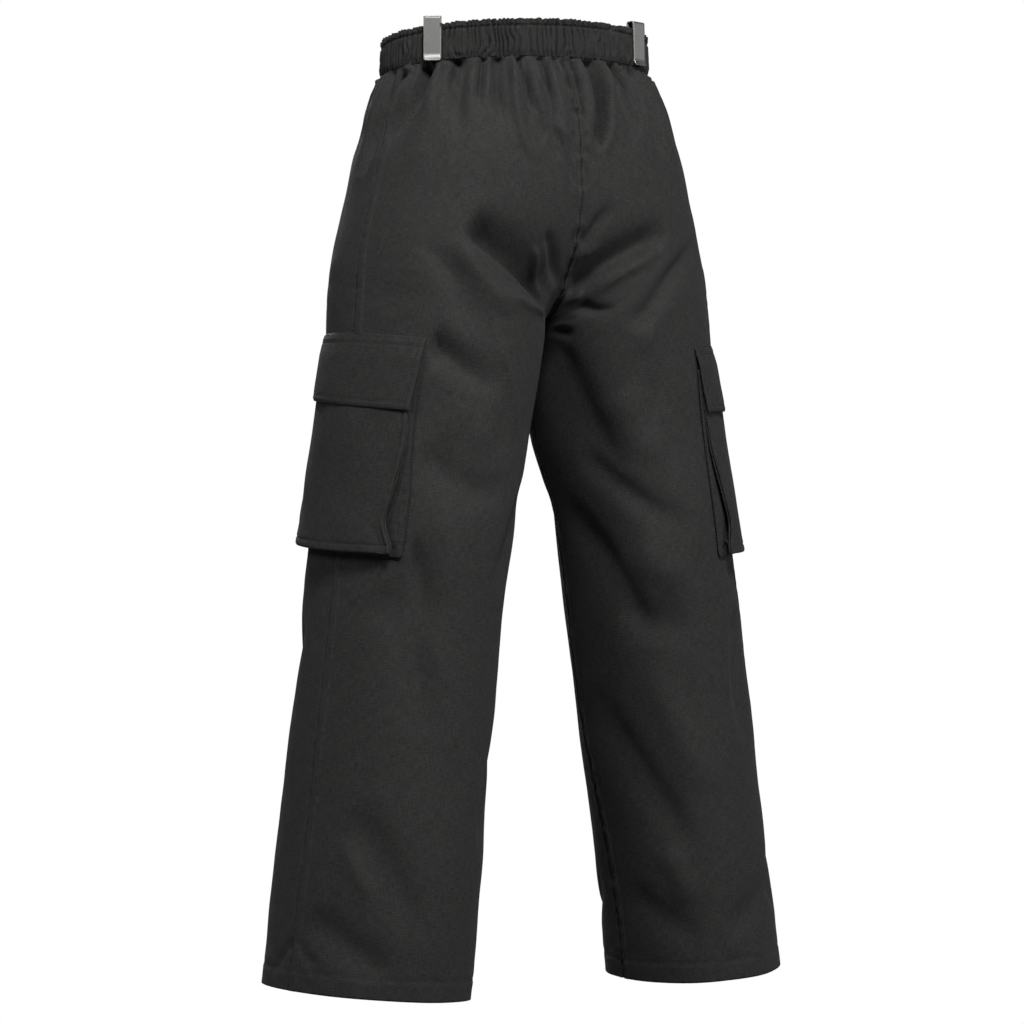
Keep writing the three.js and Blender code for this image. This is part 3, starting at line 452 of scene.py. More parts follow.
def rise(around, down, side):
    """How far the worn cloth stands off the smooth surface, in millimetres."""
    total = gather_rise(np.asarray(around), np.maximum(down, 0), side)
    for fold in FOLDS:
        if side in fold.sides:
            total += fold_rise(fold, around, down)
    run = around * FULL_GIRTH + 700 * side
    slant = run * 0.8 + down * 0.45
    for size, depth, seed in LOOSE_SWELLS:
        total += depth * patchy(slant, down * 0.75 - run * 0.35, size, seed) * ease(down / 90)
    (round0, round1), (down0, down1) = POCKET_FLAT["round"], POCKET_FLAT["down"]
    round_edge, down_edge = POCKET_FLAT["round_edge"], POCKET_FLAT["down_edge"]
    flat = ease((around - round0) / round_edge) * ease((round1 - around) / round_edge)
    flat *= ease((down - down0) / down_edge) * ease((down1 - down) / down_edge)
    total *= 1 - flat

    # Seams: a fine groove, the doubled allowance behind it as a low ridge, and puckers along it
    for seam in (0, SIDE_SEAM, 1):
        off = (around - seam) * girth(down)
        on_back = -off if seam == SIDE_SEAM else off
        allowance = ease(on_back / 1.6) * (1 - ease((on_back - SEAM_ALLOWANCE) / 2.5))
        pucker = patchy(down * 1.4, off * 0.8, 8, 31) * np.exp(-((off / 9) ** 2))
        felled = np.where(down > CROTCH_DOWN, seam != 1, seam == SIDE_SEAM or (seam == 0 and side == LEFT))
        total += SEAM_RIDGE * allowance * felled + SEAM_PUCKER[seam] * pucker
        total -= SEAM_GROOVE[seam] * np.exp(-((off / 1.3) ** 2))
        for stitched in SEAM_STITCHED[seam]:
            total -= STITCH_DENT * felled * np.exp(-(((on_back - stitched) / 0.8) ** 2))
    seat = ease(down / 30) * (1 - ease((down - CROTCH_DOWN + 60) / 60))
    if side == RIGHT:
        beside = around * girth(down) - 5 - 2 * patchy(down, down * 0, 24, 34)
        uneven = 0.6 + 0.5 * patchy(down, down * 0, 17, 33)
        total -= SEAT_VALLEY * seat * uneven * np.exp(-((beside / 3.6) ** 2))

    # Hem: doubled cloth, drawn in a little along its line of stitches
    above_hem = HEM_DOWN - HEM_DEPTH - down
    total += 0.4 * ease(-above_hem / 3) - 0.45 * np.exp(-((above_hem / 2) ** 2))
    total += 0.6 * patchy(run + down * 0.9, down, 11, 37) * np.exp(-((above_hem / 12) ** 2))
    total += 1.6 * patchy(run, down * 0, 46, 41) * ease((down - HEM_DOWN + 90) / 90)
    return total - SEAM_TUCK * ease((1 - down) / 2.5)


JOINED_WIDTH = 9
CROTCH_EASE = 40
CROTCH_TAPS = [(-27, 0.08), (-18, 0.14), (-9, 0.18), (0, 0.2), (9, 0.18), (18, 0.14), (27, 0.08)]


def eased(surface, around, down, side):
    """The smooth surface or its normals, with the bend at the crotch line softened."""
    share = np.exp(-(((down - CROTCH_DOWN) / CROTCH_EASE) ** 4))[..., None]
    near = sum(weight * surface(around, down + step, side) for step, weight in CROTCH_TAPS)
    return mix(surface(around, down, side), near, share)


def joined_rise(around, down, side):
    """The rise, evened out with the neighbouring panel's towards the seat seam, front seam and inseam."""
    lift = rise(around, down, side)
    off = np.minimum(around, 1 - around) * girth(down)
    near = off < 3 * JOINED_WIDTH
    if near.any():
        u, v = around[near], down[near]
        partner = mix(rise(u, v, -side), rise(1 - u, v, side), ease((v - CROTCH_DOWN + 12) / 24))
        lift[near] = mix(lift[near], partner, 0.5 * np.exp(-((off[near] / JOINED_WIDTH) ** 2)))
    return lift


def place(around, down, side, out=0):
    """Points on the worn cloth, moved out from it, on their own side of the middle plane."""
    lift = joined_rise(around, down, side)
    normals = eased(outward, around, down, side)
    normals /= np.linalg.norm(normals, axis=-1, keepdims=True)
    points = eased(cloth, around, down, side) + normals * (lift + out)[..., None]
    off = np.minimum(around, 1 - around) * girth(down)
    on_middle = np.exp(-((off / 2) ** 2)) * (1 - ease((down - CROTCH_DOWN + 10) / 10))
    points[..., 0] = side * np.maximum(side * points[..., 0], 0) * (1 - on_middle)
    return points


def stations(start, end, count, edge=0, edge_count=0):
    """Stations from start to end, closer together within edge of both ends."""
    if not edge_count:
        return np.linspace(start, end, count + 1)
    near = np.linspace(start, start + edge, edge_count + 1)[:-1]
    middle = np.linspace(start + edge, end - edge, count + 1)
    far = np.linspace(end - edge, end, edge_count + 1)[1:]
    return np.concatenate([near, middle, far])


def woven_sheet(name, columns, rows, point_at, run_at, wall, material, mirrored=False, ring=False):
    """A sheet of cloth: a grid of threads laid on its place, with a wall turned inwards."""
    made = bmesh.new()
    across, up = len(columns) - 1, len(rows) - 1
    bmesh.ops.create_grid(made, x_segments=across, y_segments=up, size=0.5)
    made.verts.ensure_lookup_table()
    grid = np.array([vertex.co[:2] for vertex in made.verts])
    column = columns[np.rint((grid[:, 0] + 0.5) * across).astype(int)]
    row = rows[np.rint((grid[:, 1] + 0.5) * up).astype(int)]
    if mirrored:
        bmesh.ops.reverse_faces(made, faces=made.faces)
    mesh = bpy.data.meshes.new(name)
    made.to_mesh(mesh)
    made.free()
    points = point_at(column, row) / 1000
    mesh.vertices.foreach_set("co", points.astype(np.float32).ravel())
    corner = np.zeros(len(mesh.loops), np.int32)
    mesh.loops.foreach_get("vertex_index", corner)
    run = np.stack(run_at(column, row), -1) / 1000
    mesh.uv_layers.new(name="thread").data.foreach_set("uv", run[corner].astype(np.float32).ravel())
    if ring:
        made = bmesh.new()
        made.from_mesh(mesh)
        bmesh.ops.remove_doubles(made, verts=made.verts, dist=1e-6)
        made.to_mesh(mesh)
        made.free()
    mesh.polygons.foreach_set("use_smooth", np.ones(len(mesh.polygons), bool))
    mesh.materials.append(material)
    piece = bpy.data.objects.new(name, mesh)
    bpy.context.scene.collection.objects.link(piece)
    thickness = piece.modifiers.new("wall", "SOLIDIFY")
    thickness.thickness = wall / 1000
    thickness.offset = -1
    return piece


def linear(colour):
    """A colour given as six sRGB hex digits, as linear red, green, blue and alpha."""
    channels = [int(colour[i : i + 2], 16) / 255 for i in (0, 2, 4)]
    return (*[c / 12.92 if c <= 0.04045 else ((c + 0.055) / 1.055) ** 2.4 for c in channels], 1)


def empty_material(name):
    """A new material and its node tree, still empty."""
    material = bpy.data.materials.new(name)
    material.use_nodes = True
    material.node_tree.nodes.clear()
    return material, material.node_tree


def add_node(tree, kind, settings=None, links=None):
    """Adds a node with its settings, which are properties or input values, and its links."""
    node = tree.nodes.new(kind)
    for key, value in (settings or {}).items():
        if isinstance(key, str) and hasattr(node, key):
            setattr(node, key, value)
        else:
            node.inputs[key].default_value = value
    for key, source in (links or {}).items():
        tree.links.new(source, node.inputs[key])
    return node


THREAD_SPACING = 0.5
DRAWN_SPACING = 2.0
WAVE_PERIOD = 0.314


def plain_weave(name, pale, dark, roughness=0.74):
    """Plain-woven cotton blend: matt, with a cross grain of thicker threads and a faint uneven dye.
    The threads are 0.5 mm apart, too fine to show, so the weave is drawn four times coarser."""
    material, tree = empty_material(name)
    thread = add_node(tree, "ShaderNodeUVMap", {"uv_map": "thread"}).outputs["UV"]
    lengthwise = add_node(tree, "ShaderNodeMapping", {"Scale": (1300, 110, 1)}, {"Vector": thread})
    crosswise = add_node(tree, "ShaderNodeMapping", {"Scale": (110, 1300, 1)}, {"Vector": thread})
    slub_settings = {"Scale": 1, "Detail": 3, "Roughness": 0.6}
    warp = add_node(tree, "ShaderNodeTexNoise", slub_settings, {"Vector": lengthwise.outputs[0]})
    weft = add_node(tree, "ShaderNodeTexNoise", slub_settings, {"Vector": crosswise.outputs[0]})
    slubs = add_node(
        tree,
        "ShaderNodeMath",
        {"operation": "ADD"},
        {0: warp.outputs["Fac"], 1: weft.outputs["Fac"]},
    )
    dye_settings = {"Scale": 60, "Detail": 5, "Roughness": 0.7}
    dye = add_node(tree, "ShaderNodeTexNoise", dye_settings, {"Vector": thread})
    faint = {"operation": "MULTIPLY_ADD", 1: 0.1, 2: 0.1}
    dyed = add_node(tree, "ShaderNodeMath", faint, {0: dye.outputs["Fac"]})
    tone = add_node(
        tree,
        "ShaderNodeMath",
        {"operation": "MULTIPLY_ADD", 1: 0.35},
        {0: slubs.outputs[0], 2: dyed.outputs[0]},
    )
    colours = add_node(tree, "ShaderNodeValToRGB", None, {"Fac": tone.outputs[0]})
    colours.color_ramp.elements[0].position = 0.42
    colours.color_ramp.elements[0].color = linear(dark)
    colours.color_ramp.elements[1].position = 0.58
    colours.color_ramp.elements[1].color = linear(pale)
    scale = WAVE_PERIOD / (DRAWN_SPACING / 1000)
    wave_settings = {"wave_type": "BANDS", "Scale": scale, "Distortion": 1.2, "Detail": 1}
    warp_settings = {**wave_settings, "bands_direction": "X"}
    weft_settings = {**wave_settings, "bands_direction": "Y"}
    warp_wave = add_node(tree, "ShaderNodeTexWave", warp_settings, {"Vector": thread})
    weft_wave = add_node(tree, "ShaderNodeTexWave", weft_settings, {"Vector": thread})
    weave = add_node(
        tree,
        "ShaderNodeMath",
        {"operation": "ADD"},
        {0: warp_wave.outputs["Fac"], 1: weft_wave.outputs["Fac"]},
    )
    relief = add_node(
        tree,
        "ShaderNodeMath",
        {"operation": "MULTIPLY_ADD", 1: 0.12},
        {0: weave.outputs[0], 2: slubs.outputs[0]},
    )
    bump = add_node(
        tree,
        "ShaderNodeBump",
        {"Strength": 0.35, "Distance": 0.0006},
        {"Height": relief.outputs[0]},
    )
    shader = add_node(
        tree,
        "ShaderNodeBsdfPrincipled",
        {
            "Roughness": roughness,
            "IOR": 1.45,
            "Specular IOR Level": 0.15,
            "Sheen Weight": 0.03,
            "Sheen Roughness": 0.5,
        },
        {"Base Color": colours.outputs["Color"], "Normal": bump.outputs["Normal"]},
    )
    add_node(tree, "ShaderNodeOutputMaterial", None, {"Surface": shader.outputs["BSDF"]})
    return material


leg_cloth = plain_weave("plain_woven_cotton", "333332", "202020")
PANEL_COLUMNS = 100
PANEL_EDGE_MM = 12
PANEL_EDGE_COLUMNS = 16
PANEL_ROWS = np.unique(
    np.concatenate(
        [
            np.linspace(-5, 16, 19),
            np.linspace(16, 130, 48),
            np.linspace(130, 340, 62),
            np.linspace(340, 955, 112),
            np.linspace(955, HEM_DOWN, 17),
        ]
    )
)
# Cut of each panel before it is gathered: widest width and length in metres, area in square metres
PANEL_CUT = {"back": ((0.355, 1.03), 0.345), "front": ((0.335, 1.02), 0.315)}
SEWN_ROUND = {"back": (0, SIDE_SEAM), "front": (SIDE_SEAM, 1)}

for side, side_name in SIDE_NAMES.items():
    for part, (start, end) in SEWN_ROUND.items():
        edge = PANEL_EDGE_MM / FULL_GIRTH
        panel = woven_sheet(
            f"{part}_panel_{side_name}",
            stations(start, end, PANEL_COLUMNS, edge, PANEL_EDGE_COLUMNS),
            PANEL_ROWS,
            lambda around, down: place(around, down, side),
            lambda around, down: (around * FULL_GIRTH, down),
            CLOTH_WALL,
            leg_cloth,
            mirrored=side == RIGHT,
        )
        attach(panel, "root")
        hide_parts(f"{part}_{side_name}")
        size, area = PANEL_CUT[part]


# Sewing thread: polyester core-spun, dark grey like the cloth, in lockstitches 3 mm long. Each stitch
# is a small grain lying in its seam, 1 mm wide where the real thread is 0.4 mm, so that it shows.
# The thread's colour carries painted shade: it is set darker than the cloth to stand for the shadow in the dents the
# stitches sink into.
STITCH_PITCH = 3.2
STITCH_LENGTH = 2.3
STITCH_WIDTH = 1.0
STITCH_HEIGHT = 0.5


def thread_with_painted_shade_material():
    """Matt spun thread, dark grey, made darker than the cloth it lies on with painted shade: the shadow in the dents
    the stitches sink into.
    """
    material, tree = empty_material("spun_polyester_thread_painted_shade")
    place_on = add_node(tree, "ShaderNodeTexCoord").outputs["Object"]
    twist = add_node(tree, "ShaderNodeTexNoise", {"Scale": 900, "Detail": 2}, {"Vector": place_on})
    colours = add_node(tree, "ShaderNodeValToRGB", None, {"Fac": twist.outputs["Fac"]})
    # Near-black greys: the thread's own dark grey deepened with painted shade, the shadow of the stitch dents.
    colours.color_ramp.elements[0].color = linear("0d0d0d")
    colours.color_ramp.elements[1].color = linear("1b1b1b")
    relief = {"Strength": 0.3, "Distance": 0.0002}
    bump = add_node(tree, "ShaderNodeBump", relief, {"Height": twist.outputs["Fac"]})
    links = {"Base Color": colours.outputs["Color"], "Normal": bump.outputs["Normal"]}
    shader = add_node(tree, "ShaderNodeBsdfPrincipled", {"Roughness": 0.7, "IOR": 1.5}, links)
    add_node(tree, "ShaderNodeOutputMaterial", None, {"Surface": shader.outputs["BSDF"]})
    return material


thread = thread_with_painted_shade_material()


def stitch_rows(name, rows):
    """Lockstitches along rows of (points, normals) in millimetres, joined as one piece of thread."""
    made = bmesh.new()
    for points, normals in rows:
        run = np.concatenate([[0], np.cumsum(np.linalg.norm(np.diff(points, axis=0), axis=1))])
        at = np.arange(STITCH_PITCH / 2, run[-1], STITCH_PITCH)
        middle = np.stack([np.interp(at, run, points[:, k]) for k in range(3)], -1)
        ahead = np.stack([np.interp(at + 0.5, run, points[:, k]) for k in range(3)], -1)
        behind = np.stack([np.interp(at - 0.5, run, points[:, k]) for k in range(3)], -1)
        normal = np.stack([np.interp(at, run, normals[:, k]) for k in range(3)], -1)
        for centre, way, up in zip(middle, ahead - behind, normal):
            way, up = Vector(way).normalized(), Vector(up)
            across = up.cross(way).normalized()
            up = way.cross(across)
            turn = Matrix((way, across, up)).transposed().to_4x4()
            size = Matrix.Diagonal((STITCH_LENGTH / 2000, STITCH_WIDTH / 2000, STITCH_HEIGHT / 2000, 1))
            spot = Matrix.Translation(Vector(centre) / 1000)
            bmesh.ops.create_icosphere(made, subdivisions=1, radius=1, matrix=spot @ turn @ size)
    mesh = bpy.data.meshes.new(name)
    made.to_mesh(mesh)
    made.free()
    mesh.polygons.foreach_set("use_smooth", np.ones(len(mesh.polygons), bool))
    mesh.materials.append(thread)
    piece = bpy.data.objects.new(name, mesh)
    bpy.context.scene.collection.objects.link(piece)
    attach(piece, "root")
    return piece


def line_on_leg(side, points, out=0.12):
    """A row of stitches on the cloth through (round, down) points, as points and normals."""
    points = np.array(points, float)
    steps = []
    for (around0, down0), (around1, down1) in zip(points[:-1], points[1:]):
        steps.append(max(2, int(abs(down1 - down0) / 2 + abs(around1 - around0) * 320)))
    around = np.concatenate([np.linspace(points[i, 0], points[i + 1, 0], n) for i, n in enumerate(steps)])
    down = np.concatenate([np.linspace(points[i, 1], points[i + 1, 1], n) for i, n in enumerate(steps)])
    return place(around, down, side, out), outward(around, down, side)


for side, side_name in SIDE_NAMES.items():
    rows = []
    seat = np.linspace(2, CROTCH_DOWN - 6, 90)
    for off in (1.8, 7.5):
        if side == LEFT:
            rows.append(line_on_leg(side, [(off / girth(down), down) for down in seat]))
    inseam = np.linspace(CROTCH_DOWN + 12, HEM_DOWN - 2, 90)
    rows.append(line_on_leg(side, [(7.5 / girth(down), down) for down in inseam]))
    for down0, down1 in ((4, 333), (566, HEM_DOWN - 2)):
        downs = np.linspace(down0, down1, 60)
        rows.append(line_on_leg(side, [(SIDE_SEAM - 2.2 / girth(down), down) for down in downs]))
    hem_stitch = HEM_DOWN - HEM_DEPTH
    rows.append(line_on_leg(side, [(around, hem_stitch) for around in np.linspace(0.004, 0.996, 60)]))
    stitch_rows(f"leg_stitching_{side_name}", rows)


# Waistband: a folded band of the same cloth over wide elastic, gathered tight by it. A row of stitches
# holds the elastic 7 mm below the top edge, which leaves a small ruffle, and another closes its foot.
BAND_HEIGHT = 38
BAND_WALL = 2.4
BAND_COLUMNS = 860
BAND_RUFFLE_DOWN = -31
BAND_SWELL = [(0.3, 0.2), (-2, 0.6), (-6, 1.7), (-18, 1.8), (-29, 1.3), (-31, -0.7), (-33, 1.1), (-38, 0.9)]
BAND_GATHER_DEPTH = [(0.3, 0.3), (-4, 0.85), (-16, 0.8), (-28, 0.9), (-31, 0.6), (-34, 1.1), (-38, 1.25)]
BAND_GATHER_RISE = 6.5
BAND_ROWS = np.concatenate(
    [
        np.linspace(0.1, -5, 6),
        np.linspace(-6.5, -27, 13),
        np.linspace(-28, -34, 9),
        np.linspace(-35.2, -BAND_HEIGHT, 4),
    ]
)
band_cloth = plain_weave("elastic_gathered_cotton", "30302f", "1d1d1d")


def by_down(table, down):
    """A value read from a short table of (down, value) rows, top row last."""
    at = np.array(table[::-1], float)
    return np.interp(down, at[:, 0], at[:, 1])


def band_rise(turn, down):
    """Elastic gathers: narrow valleys 5 to 10 mm apart, deepest at the rows of stitches."""
    run = turn * 2 * WAIST_GIRTH
    sway = patchy(run, down, 13, 61) * 0.45
    fine = math.pi * (run / 6.8 + 1.2 * patchy(run, down * 0, 15, 62) + sway)
    finer = math.pi * (run / 4.1 + 0.7 * patchy(run, down * 0, 9, 63) + sway)
    uneven = 0.5 + 0.5 * patchy(run, down * 0.7, 10, 64)
    ridge = ((np.sin(fine) ** 2 + 0.006) ** 0.32 - 0.8) * (0.25 + 1.1 * uneven)
    ridge += 0.35 * (np.abs(np.sin(finer)) - 0.6) * (1 - 0.5 * uneven)
    broad = 0.5 * patchy(run, down, 34, 65)
    near_stitches = np.exp(-(((down - BAND_RUFFLE_DOWN) / 3) ** 2)) + np.exp(-((down / 3) ** 2))
    pulled = 0.35 * patchy(run * 1.6, down, 5, 66) * near_stitches
    gathered = by_down(BAND_GATHER_DEPTH, down) * BAND_GATHER_RISE * ridge
    return by_down(BAND_SWELL, down) + gathered + broad + pulled


def band_point(turn, down):
    """A point of the band: turn runs 0 to 0.5 round the left side, and back along the right."""
    on_left = turn < 0.5
    out = band_rise(turn % 1.0, down)
    top = ease((-down - BAND_HEIGHT + 6) / 6)
    down = down - 0.7 * top * patchy((turn % 1.0) * 2 * WAIST_GIRTH, down * 0, 7, 67)
    left_round, right_round = 2 * turn, 2 - 2 * turn
    left_points = cloth(left_round, down, LEFT) + outward(left_round, down, LEFT) * out[:, None]
    right_points = cloth(right_round, down, RIGHT) + outward(right_round, down, RIGHT) * out[:, None]
    return np.where(on_left[:, None], left_points, right_points)


band = woven_sheet(
    "gathered_waistband",
    np.linspace(0, 1, BAND_COLUMNS + 1),
    BAND_ROWS[::-1],
    band_point,
    lambda turn, down: (turn * 2 * WAIST_GIRTH, down),
    BAND_WALL,
    band_cloth,
    ring=True,
)
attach(band, "root")
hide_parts("waistband")


def band_line(down, out):
    """A row of stitches round the band."""
    turn = np.linspace(0.0005, 0.9995, 800)
    rows = np.full_like(turn, down)
    on_left = (turn < 0.5)[:, None]
    normals = np.where(on_left, outward(2 * turn, rows, LEFT), outward(2 - 2 * turn, rows, RIGHT))
    return band_point(turn, rows) + normals * out, normals


stitch_rows("waistband_stitching", [band_line(BAND_RUFFLE_DOWN, 0.15), band_line(-2.2, 0.15)])


# Pocket bellows: a strip of the same cloth sewn to the thigh along the pocket's outline and to the edge
# of its face, folded inwards between them. It lies flat near the thigh and opens towards the bottom.
POCKET_BACK = 0.38
POCKET_FRONT = 0.66
POCKET_CLEAR = 0.8
STITCHED_BOTTOM = 550
FACE_TOP = 366
FACE_BOTTOM = 545
FACE_TOP_STAND = 3
FACE_BOTTOM_STAND = 13
FACE_PULL_TOP = 5
FACE_PULL_BOTTOM = 15
FACE_PULL_START = 430
FACE_PULL_LENGTH = 70
FACE_PULL_MORE = 3.5
FACE_PULL_MORE_DOWN = 512
FACE_CROWN = 2
THIGH_GIRTH = 650
POCKET_TILT_BACK = 4
POCKET_TILT_FRONT = -11
BELLOWS_INSET = 14
BELLOWS_LENGTH = 540
BELLOWS_WIDTH = 28
BELLOWS_TOP = FACE_TOP + 2
pocket_cloth = plain_weave("pocket_cotton", "313130", "1e1e1e")


def face_stand(down):
    """How far the face of a pocket stands off the thigh."""
    part = np.clip((down - FACE_TOP) / (FACE_BOTTOM - FACE_TOP), 0, 1)
    return mix(FACE_TOP_STAND, FACE_BOTTOM_STAND, part)


def face_pull(down):
    """The face's side edges are drawn in from the stitched outline as the bellows open, in round."""
    pull = mix(FACE_PULL_TOP, FACE_PULL_BOTTOM, ease((down - FACE_PULL_START) / FACE_PULL_LENGTH))
    waist = FACE_PULL_MORE * np.exp(-(((down - FACE_PULL_MORE_DOWN) / 20) ** 2))
    return (pull + waist - 2 * FACE_PULL_MORE * ease((down - FACE_PULL_MORE_DOWN) / 30)) / THIGH_GIRTH


def pocket_tilt(around, down):
    """The foot of a pocket hangs lower at the back edge than at the front."""
    part = (around - POCKET_BACK) / (POCKET_FRONT - POCKET_BACK)
    share = ease((down - FACE_TOP) / (STITCHED_BOTTOM - FACE_TOP))
    return mix(POCKET_TILT_BACK, POCKET_TILT_FRONT, part) * share


def bellows_point(along, across, side):
    """Along runs down the back edge, along the bottom and up the front; across runs thigh to face."""
    side_run = BELLOWS_TOP - FACE_BOTTOM
    bottom_run = (POCKET_FRONT - POCKET_BACK) * THIGH_GIRTH
    whole = 2 * abs(side_run) + bottom_run
    at = along * whole
    down_part = np.clip(np.minimum(at, whole - at) / abs(side_run), 0, 1)
    along_part = np.clip((at - abs(side_run)) / bottom_run, 0, 1)
    corner = 9 / bottom_run
    out_x = np.where(along_part < corner, -(1 - along_part / corner), 0)
    out_x = out_x + np.where(along_part > 1 - corner, (along_part - 1 + corner) / corner, 0)
    out_y = ease((down_part - 0.95) / 0.05)
    face_down = mix(BELLOWS_TOP, FACE_BOTTOM, down_part)
    pull = face_pull(face_down)
    height = np.maximum(face_stand(face_down) - CLOTH_WALL - 0.2 - POCKET_CLEAR, 0.6)
    fold = BELLOWS_INSET * np.clip((height - 1) / 8, 0, 1)
    under = ease(across / 0.5)
    inset = fold * (under - ease((across - 0.55) / 0.45))
    start, end = POCKET_BACK + pull * under, POCKET_FRONT - pull * under
    around = mix(start, end, along_part) - out_x * inset / THIGH_GIRTH
    low = mix(STITCHED_BOTTOM - 3, FACE_BOTTOM, across)
    down = mix(BELLOWS_TOP, low, down_part) - out_y * inset
    stand = POCKET_CLEAR + height * (0.12 * across + 0.88 * ease((across - 0.4) / 0.6))
    wobble = 0.7 * patchy(at, across * 20, 22, 71 + side) * np.sin(math.pi * across)
    down = down + pocket_tilt(around, down)
    return cloth(around, down, side) + outward(around, down, side) * (stand + wobble)[:, None]


for side, side_name in SIDE_NAMES.items():
    bellows = woven_sheet(
        f"pocket_bellows_{side_name}",
        np.linspace(0, 1, 151),
        np.linspace(0, 1, 15),
        lambda along, across: bellows_point(along, across, side),
        lambda along, across: (along * BELLOWS_LENGTH, across * BELLOWS_WIDTH),
        CLOTH_WALL,
        pocket_cloth,
        mirrored=side == RIGHT,
    )
    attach(bellows, "root")
    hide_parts(f"pocket_gusset_{side_name}")


# Pocket faces: one square of cloth on each outer thigh, turned under at its edges and sewn to the
# bellows. It bags outwards at the bottom, where the pocket is fullest.
FACE_WIDTH = 182
FACE_ROWS = np.concatenate(
    [np.linspace(FACE_TOP, FACE_BOTTOM - 10, 56), np.linspace(FACE_BOTTOM - 9, FACE_BOTTOM, 9)]
)


def near_edge(distance, width):
    """1 at an edge, falling to 0 over the given width."""
    return np.exp(-((distance / width) ** 2))


def face_point(across, down, side):
    """Across runs 0 to 1 from the back edge to the front edge of the face."""
    pull = face_pull(down)
    around = mix(POCKET_BACK + pull, POCKET_FRONT - pull, across)
    width = (POCKET_FRONT - POCKET_BACK) * THIGH_GIRTH
    from_edge = np.minimum(across, 1 - across) * width
    from_bottom = FACE_BOTTOM - down
    stand = face_stand(down) + FACE_CROWN * np.sin(math.pi * across) * ease((down - FACE_TOP) / 60)
    edge = np.minimum(from_edge, from_bottom)
    stand = stand - 1.0 * near_edge(edge, 1.0) - 0.9 * near_edge(from_edge - 6, 1.2)
    stand = stand + 0.9 * near_edge(from_edge - 2.8, 1.7)
    stand = stand - 0.7 * near_edge(from_bottom - 8, 1.1)
    run = across * width
    stand = stand + 1.5 * patchy(run + down * 0.3, down, 48, 81 + side) * ease(edge / 18)
    stand = stand + 0.4 * patchy(run, down * 0.6, 17, 83 + side)
    tuck = np.exp(-(((from_edge - 12) / 7) ** 2)) * np.exp(-(((from_bottom - 10) / 16) ** 2))
    stand = stand - 3 * tuck
    wave = 1.6 * patchy(down, down * 0, 26, 85 + side) * near_edge(from_edge, 12) * ease((down - 420) / 60)
    around = around + np.where(across < 0.5, 1, -1) * wave / THIGH_GIRTH
    sag = 2.5 * np.sin(math.pi * across) * ease((down - 480) / 60)
    down = down + sag + pocket_tilt(around, down)
    return cloth(around, down, side) + outward(around, down, side) * stand[:, None]


for side, side_name in SIDE_NAMES.items():
    face = woven_sheet(
        f"pocket_face_cloth_{side_name}",
        stations(0, 1, 60, 0.05, 8),
        FACE_ROWS,
        lambda across, down: face_point(across, down, side),
        lambda across, down: (across * FACE_WIDTH, down),
        CLOTH_WALL,
        pocket_cloth,
        mirrored=side == RIGHT,
    )
    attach(face, "root")
    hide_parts(f"pocket_face_{side_name}")


# Pocket flaps: two layers of cloth with an interlining, sewn down along the top and turned back over
# the pocket's mouth. Two rows of stitches follow the top, and one each side and the lower edge.
FLAP_WALL = 2
FLAP_WIDTH = 186
FLAP_DEPTH = 60
FLAP_OVERHANG = 0.004
FLAP_TAPER = 0.01
FLAP_STAND = [(0, -1.4), (0.04, 0.2), (0.08, 1.2), (0.3, 4.0), (0.6, 5.6), (1, 7.6)]
FLAP_EDGES = {
    LEFT: {"front_top": 335, "back_top": 346, "front_bottom": 393, "back_bottom": 410},
    RIGHT: {"front_top": 340, "back_top": 346, "front_bottom": 398, "back_bottom": 406},
}
FLAP_STITCH_IN = 6


def flap_point(across, part, side, out=0):
    """Across runs from the back edge to the front edge, and part from the top seam to the lower edge."""
    size = FLAP_EDGES[side]
    start = POCKET_BACK - FLAP_OVERHANG + FLAP_TAPER * part
    end = POCKET_FRONT + FLAP_OVERHANG - FLAP_TAPER * part
    around = mix(start, end, across)
    top = mix(size["back_top"], size["front_top"], across)
    bottom = mix(size["back_bottom"], size["front_bottom"], across) + 1.5 * np.sin(math.pi * across)
    down = mix(top, bottom, part)
    from_edge = np.minimum(np.minimum(across, 1 - across) * FLAP_WIDTH, (1 - part) * FLAP_DEPTH)
    table = np.array(FLAP_STAND)
    stand = np.interp(part, table[:, 0], table[:, 1]) + FLAP_WALL
    stand = stand - 1.2 * near_edge(from_edge, 1.5) - 0.45 * near_edge(from_edge - FLAP_STITCH_IN, 1.2)
    stand = stand - 0.5 * near_edge(part * FLAP_DEPTH - 8, 1.3)
    stand = stand + 0.9 * patchy(across * FLAP_WIDTH + 40 * side, part * FLAP_DEPTH, 42, 91) * ease(part / 0.3)
    stand = stand + 0.3 * patchy(across * FLAP_WIDTH, part * FLAP_DEPTH, 12, 92 + side)
    return cloth(around, down, side) + outward(around, down, side) * (stand + out)[:, None]


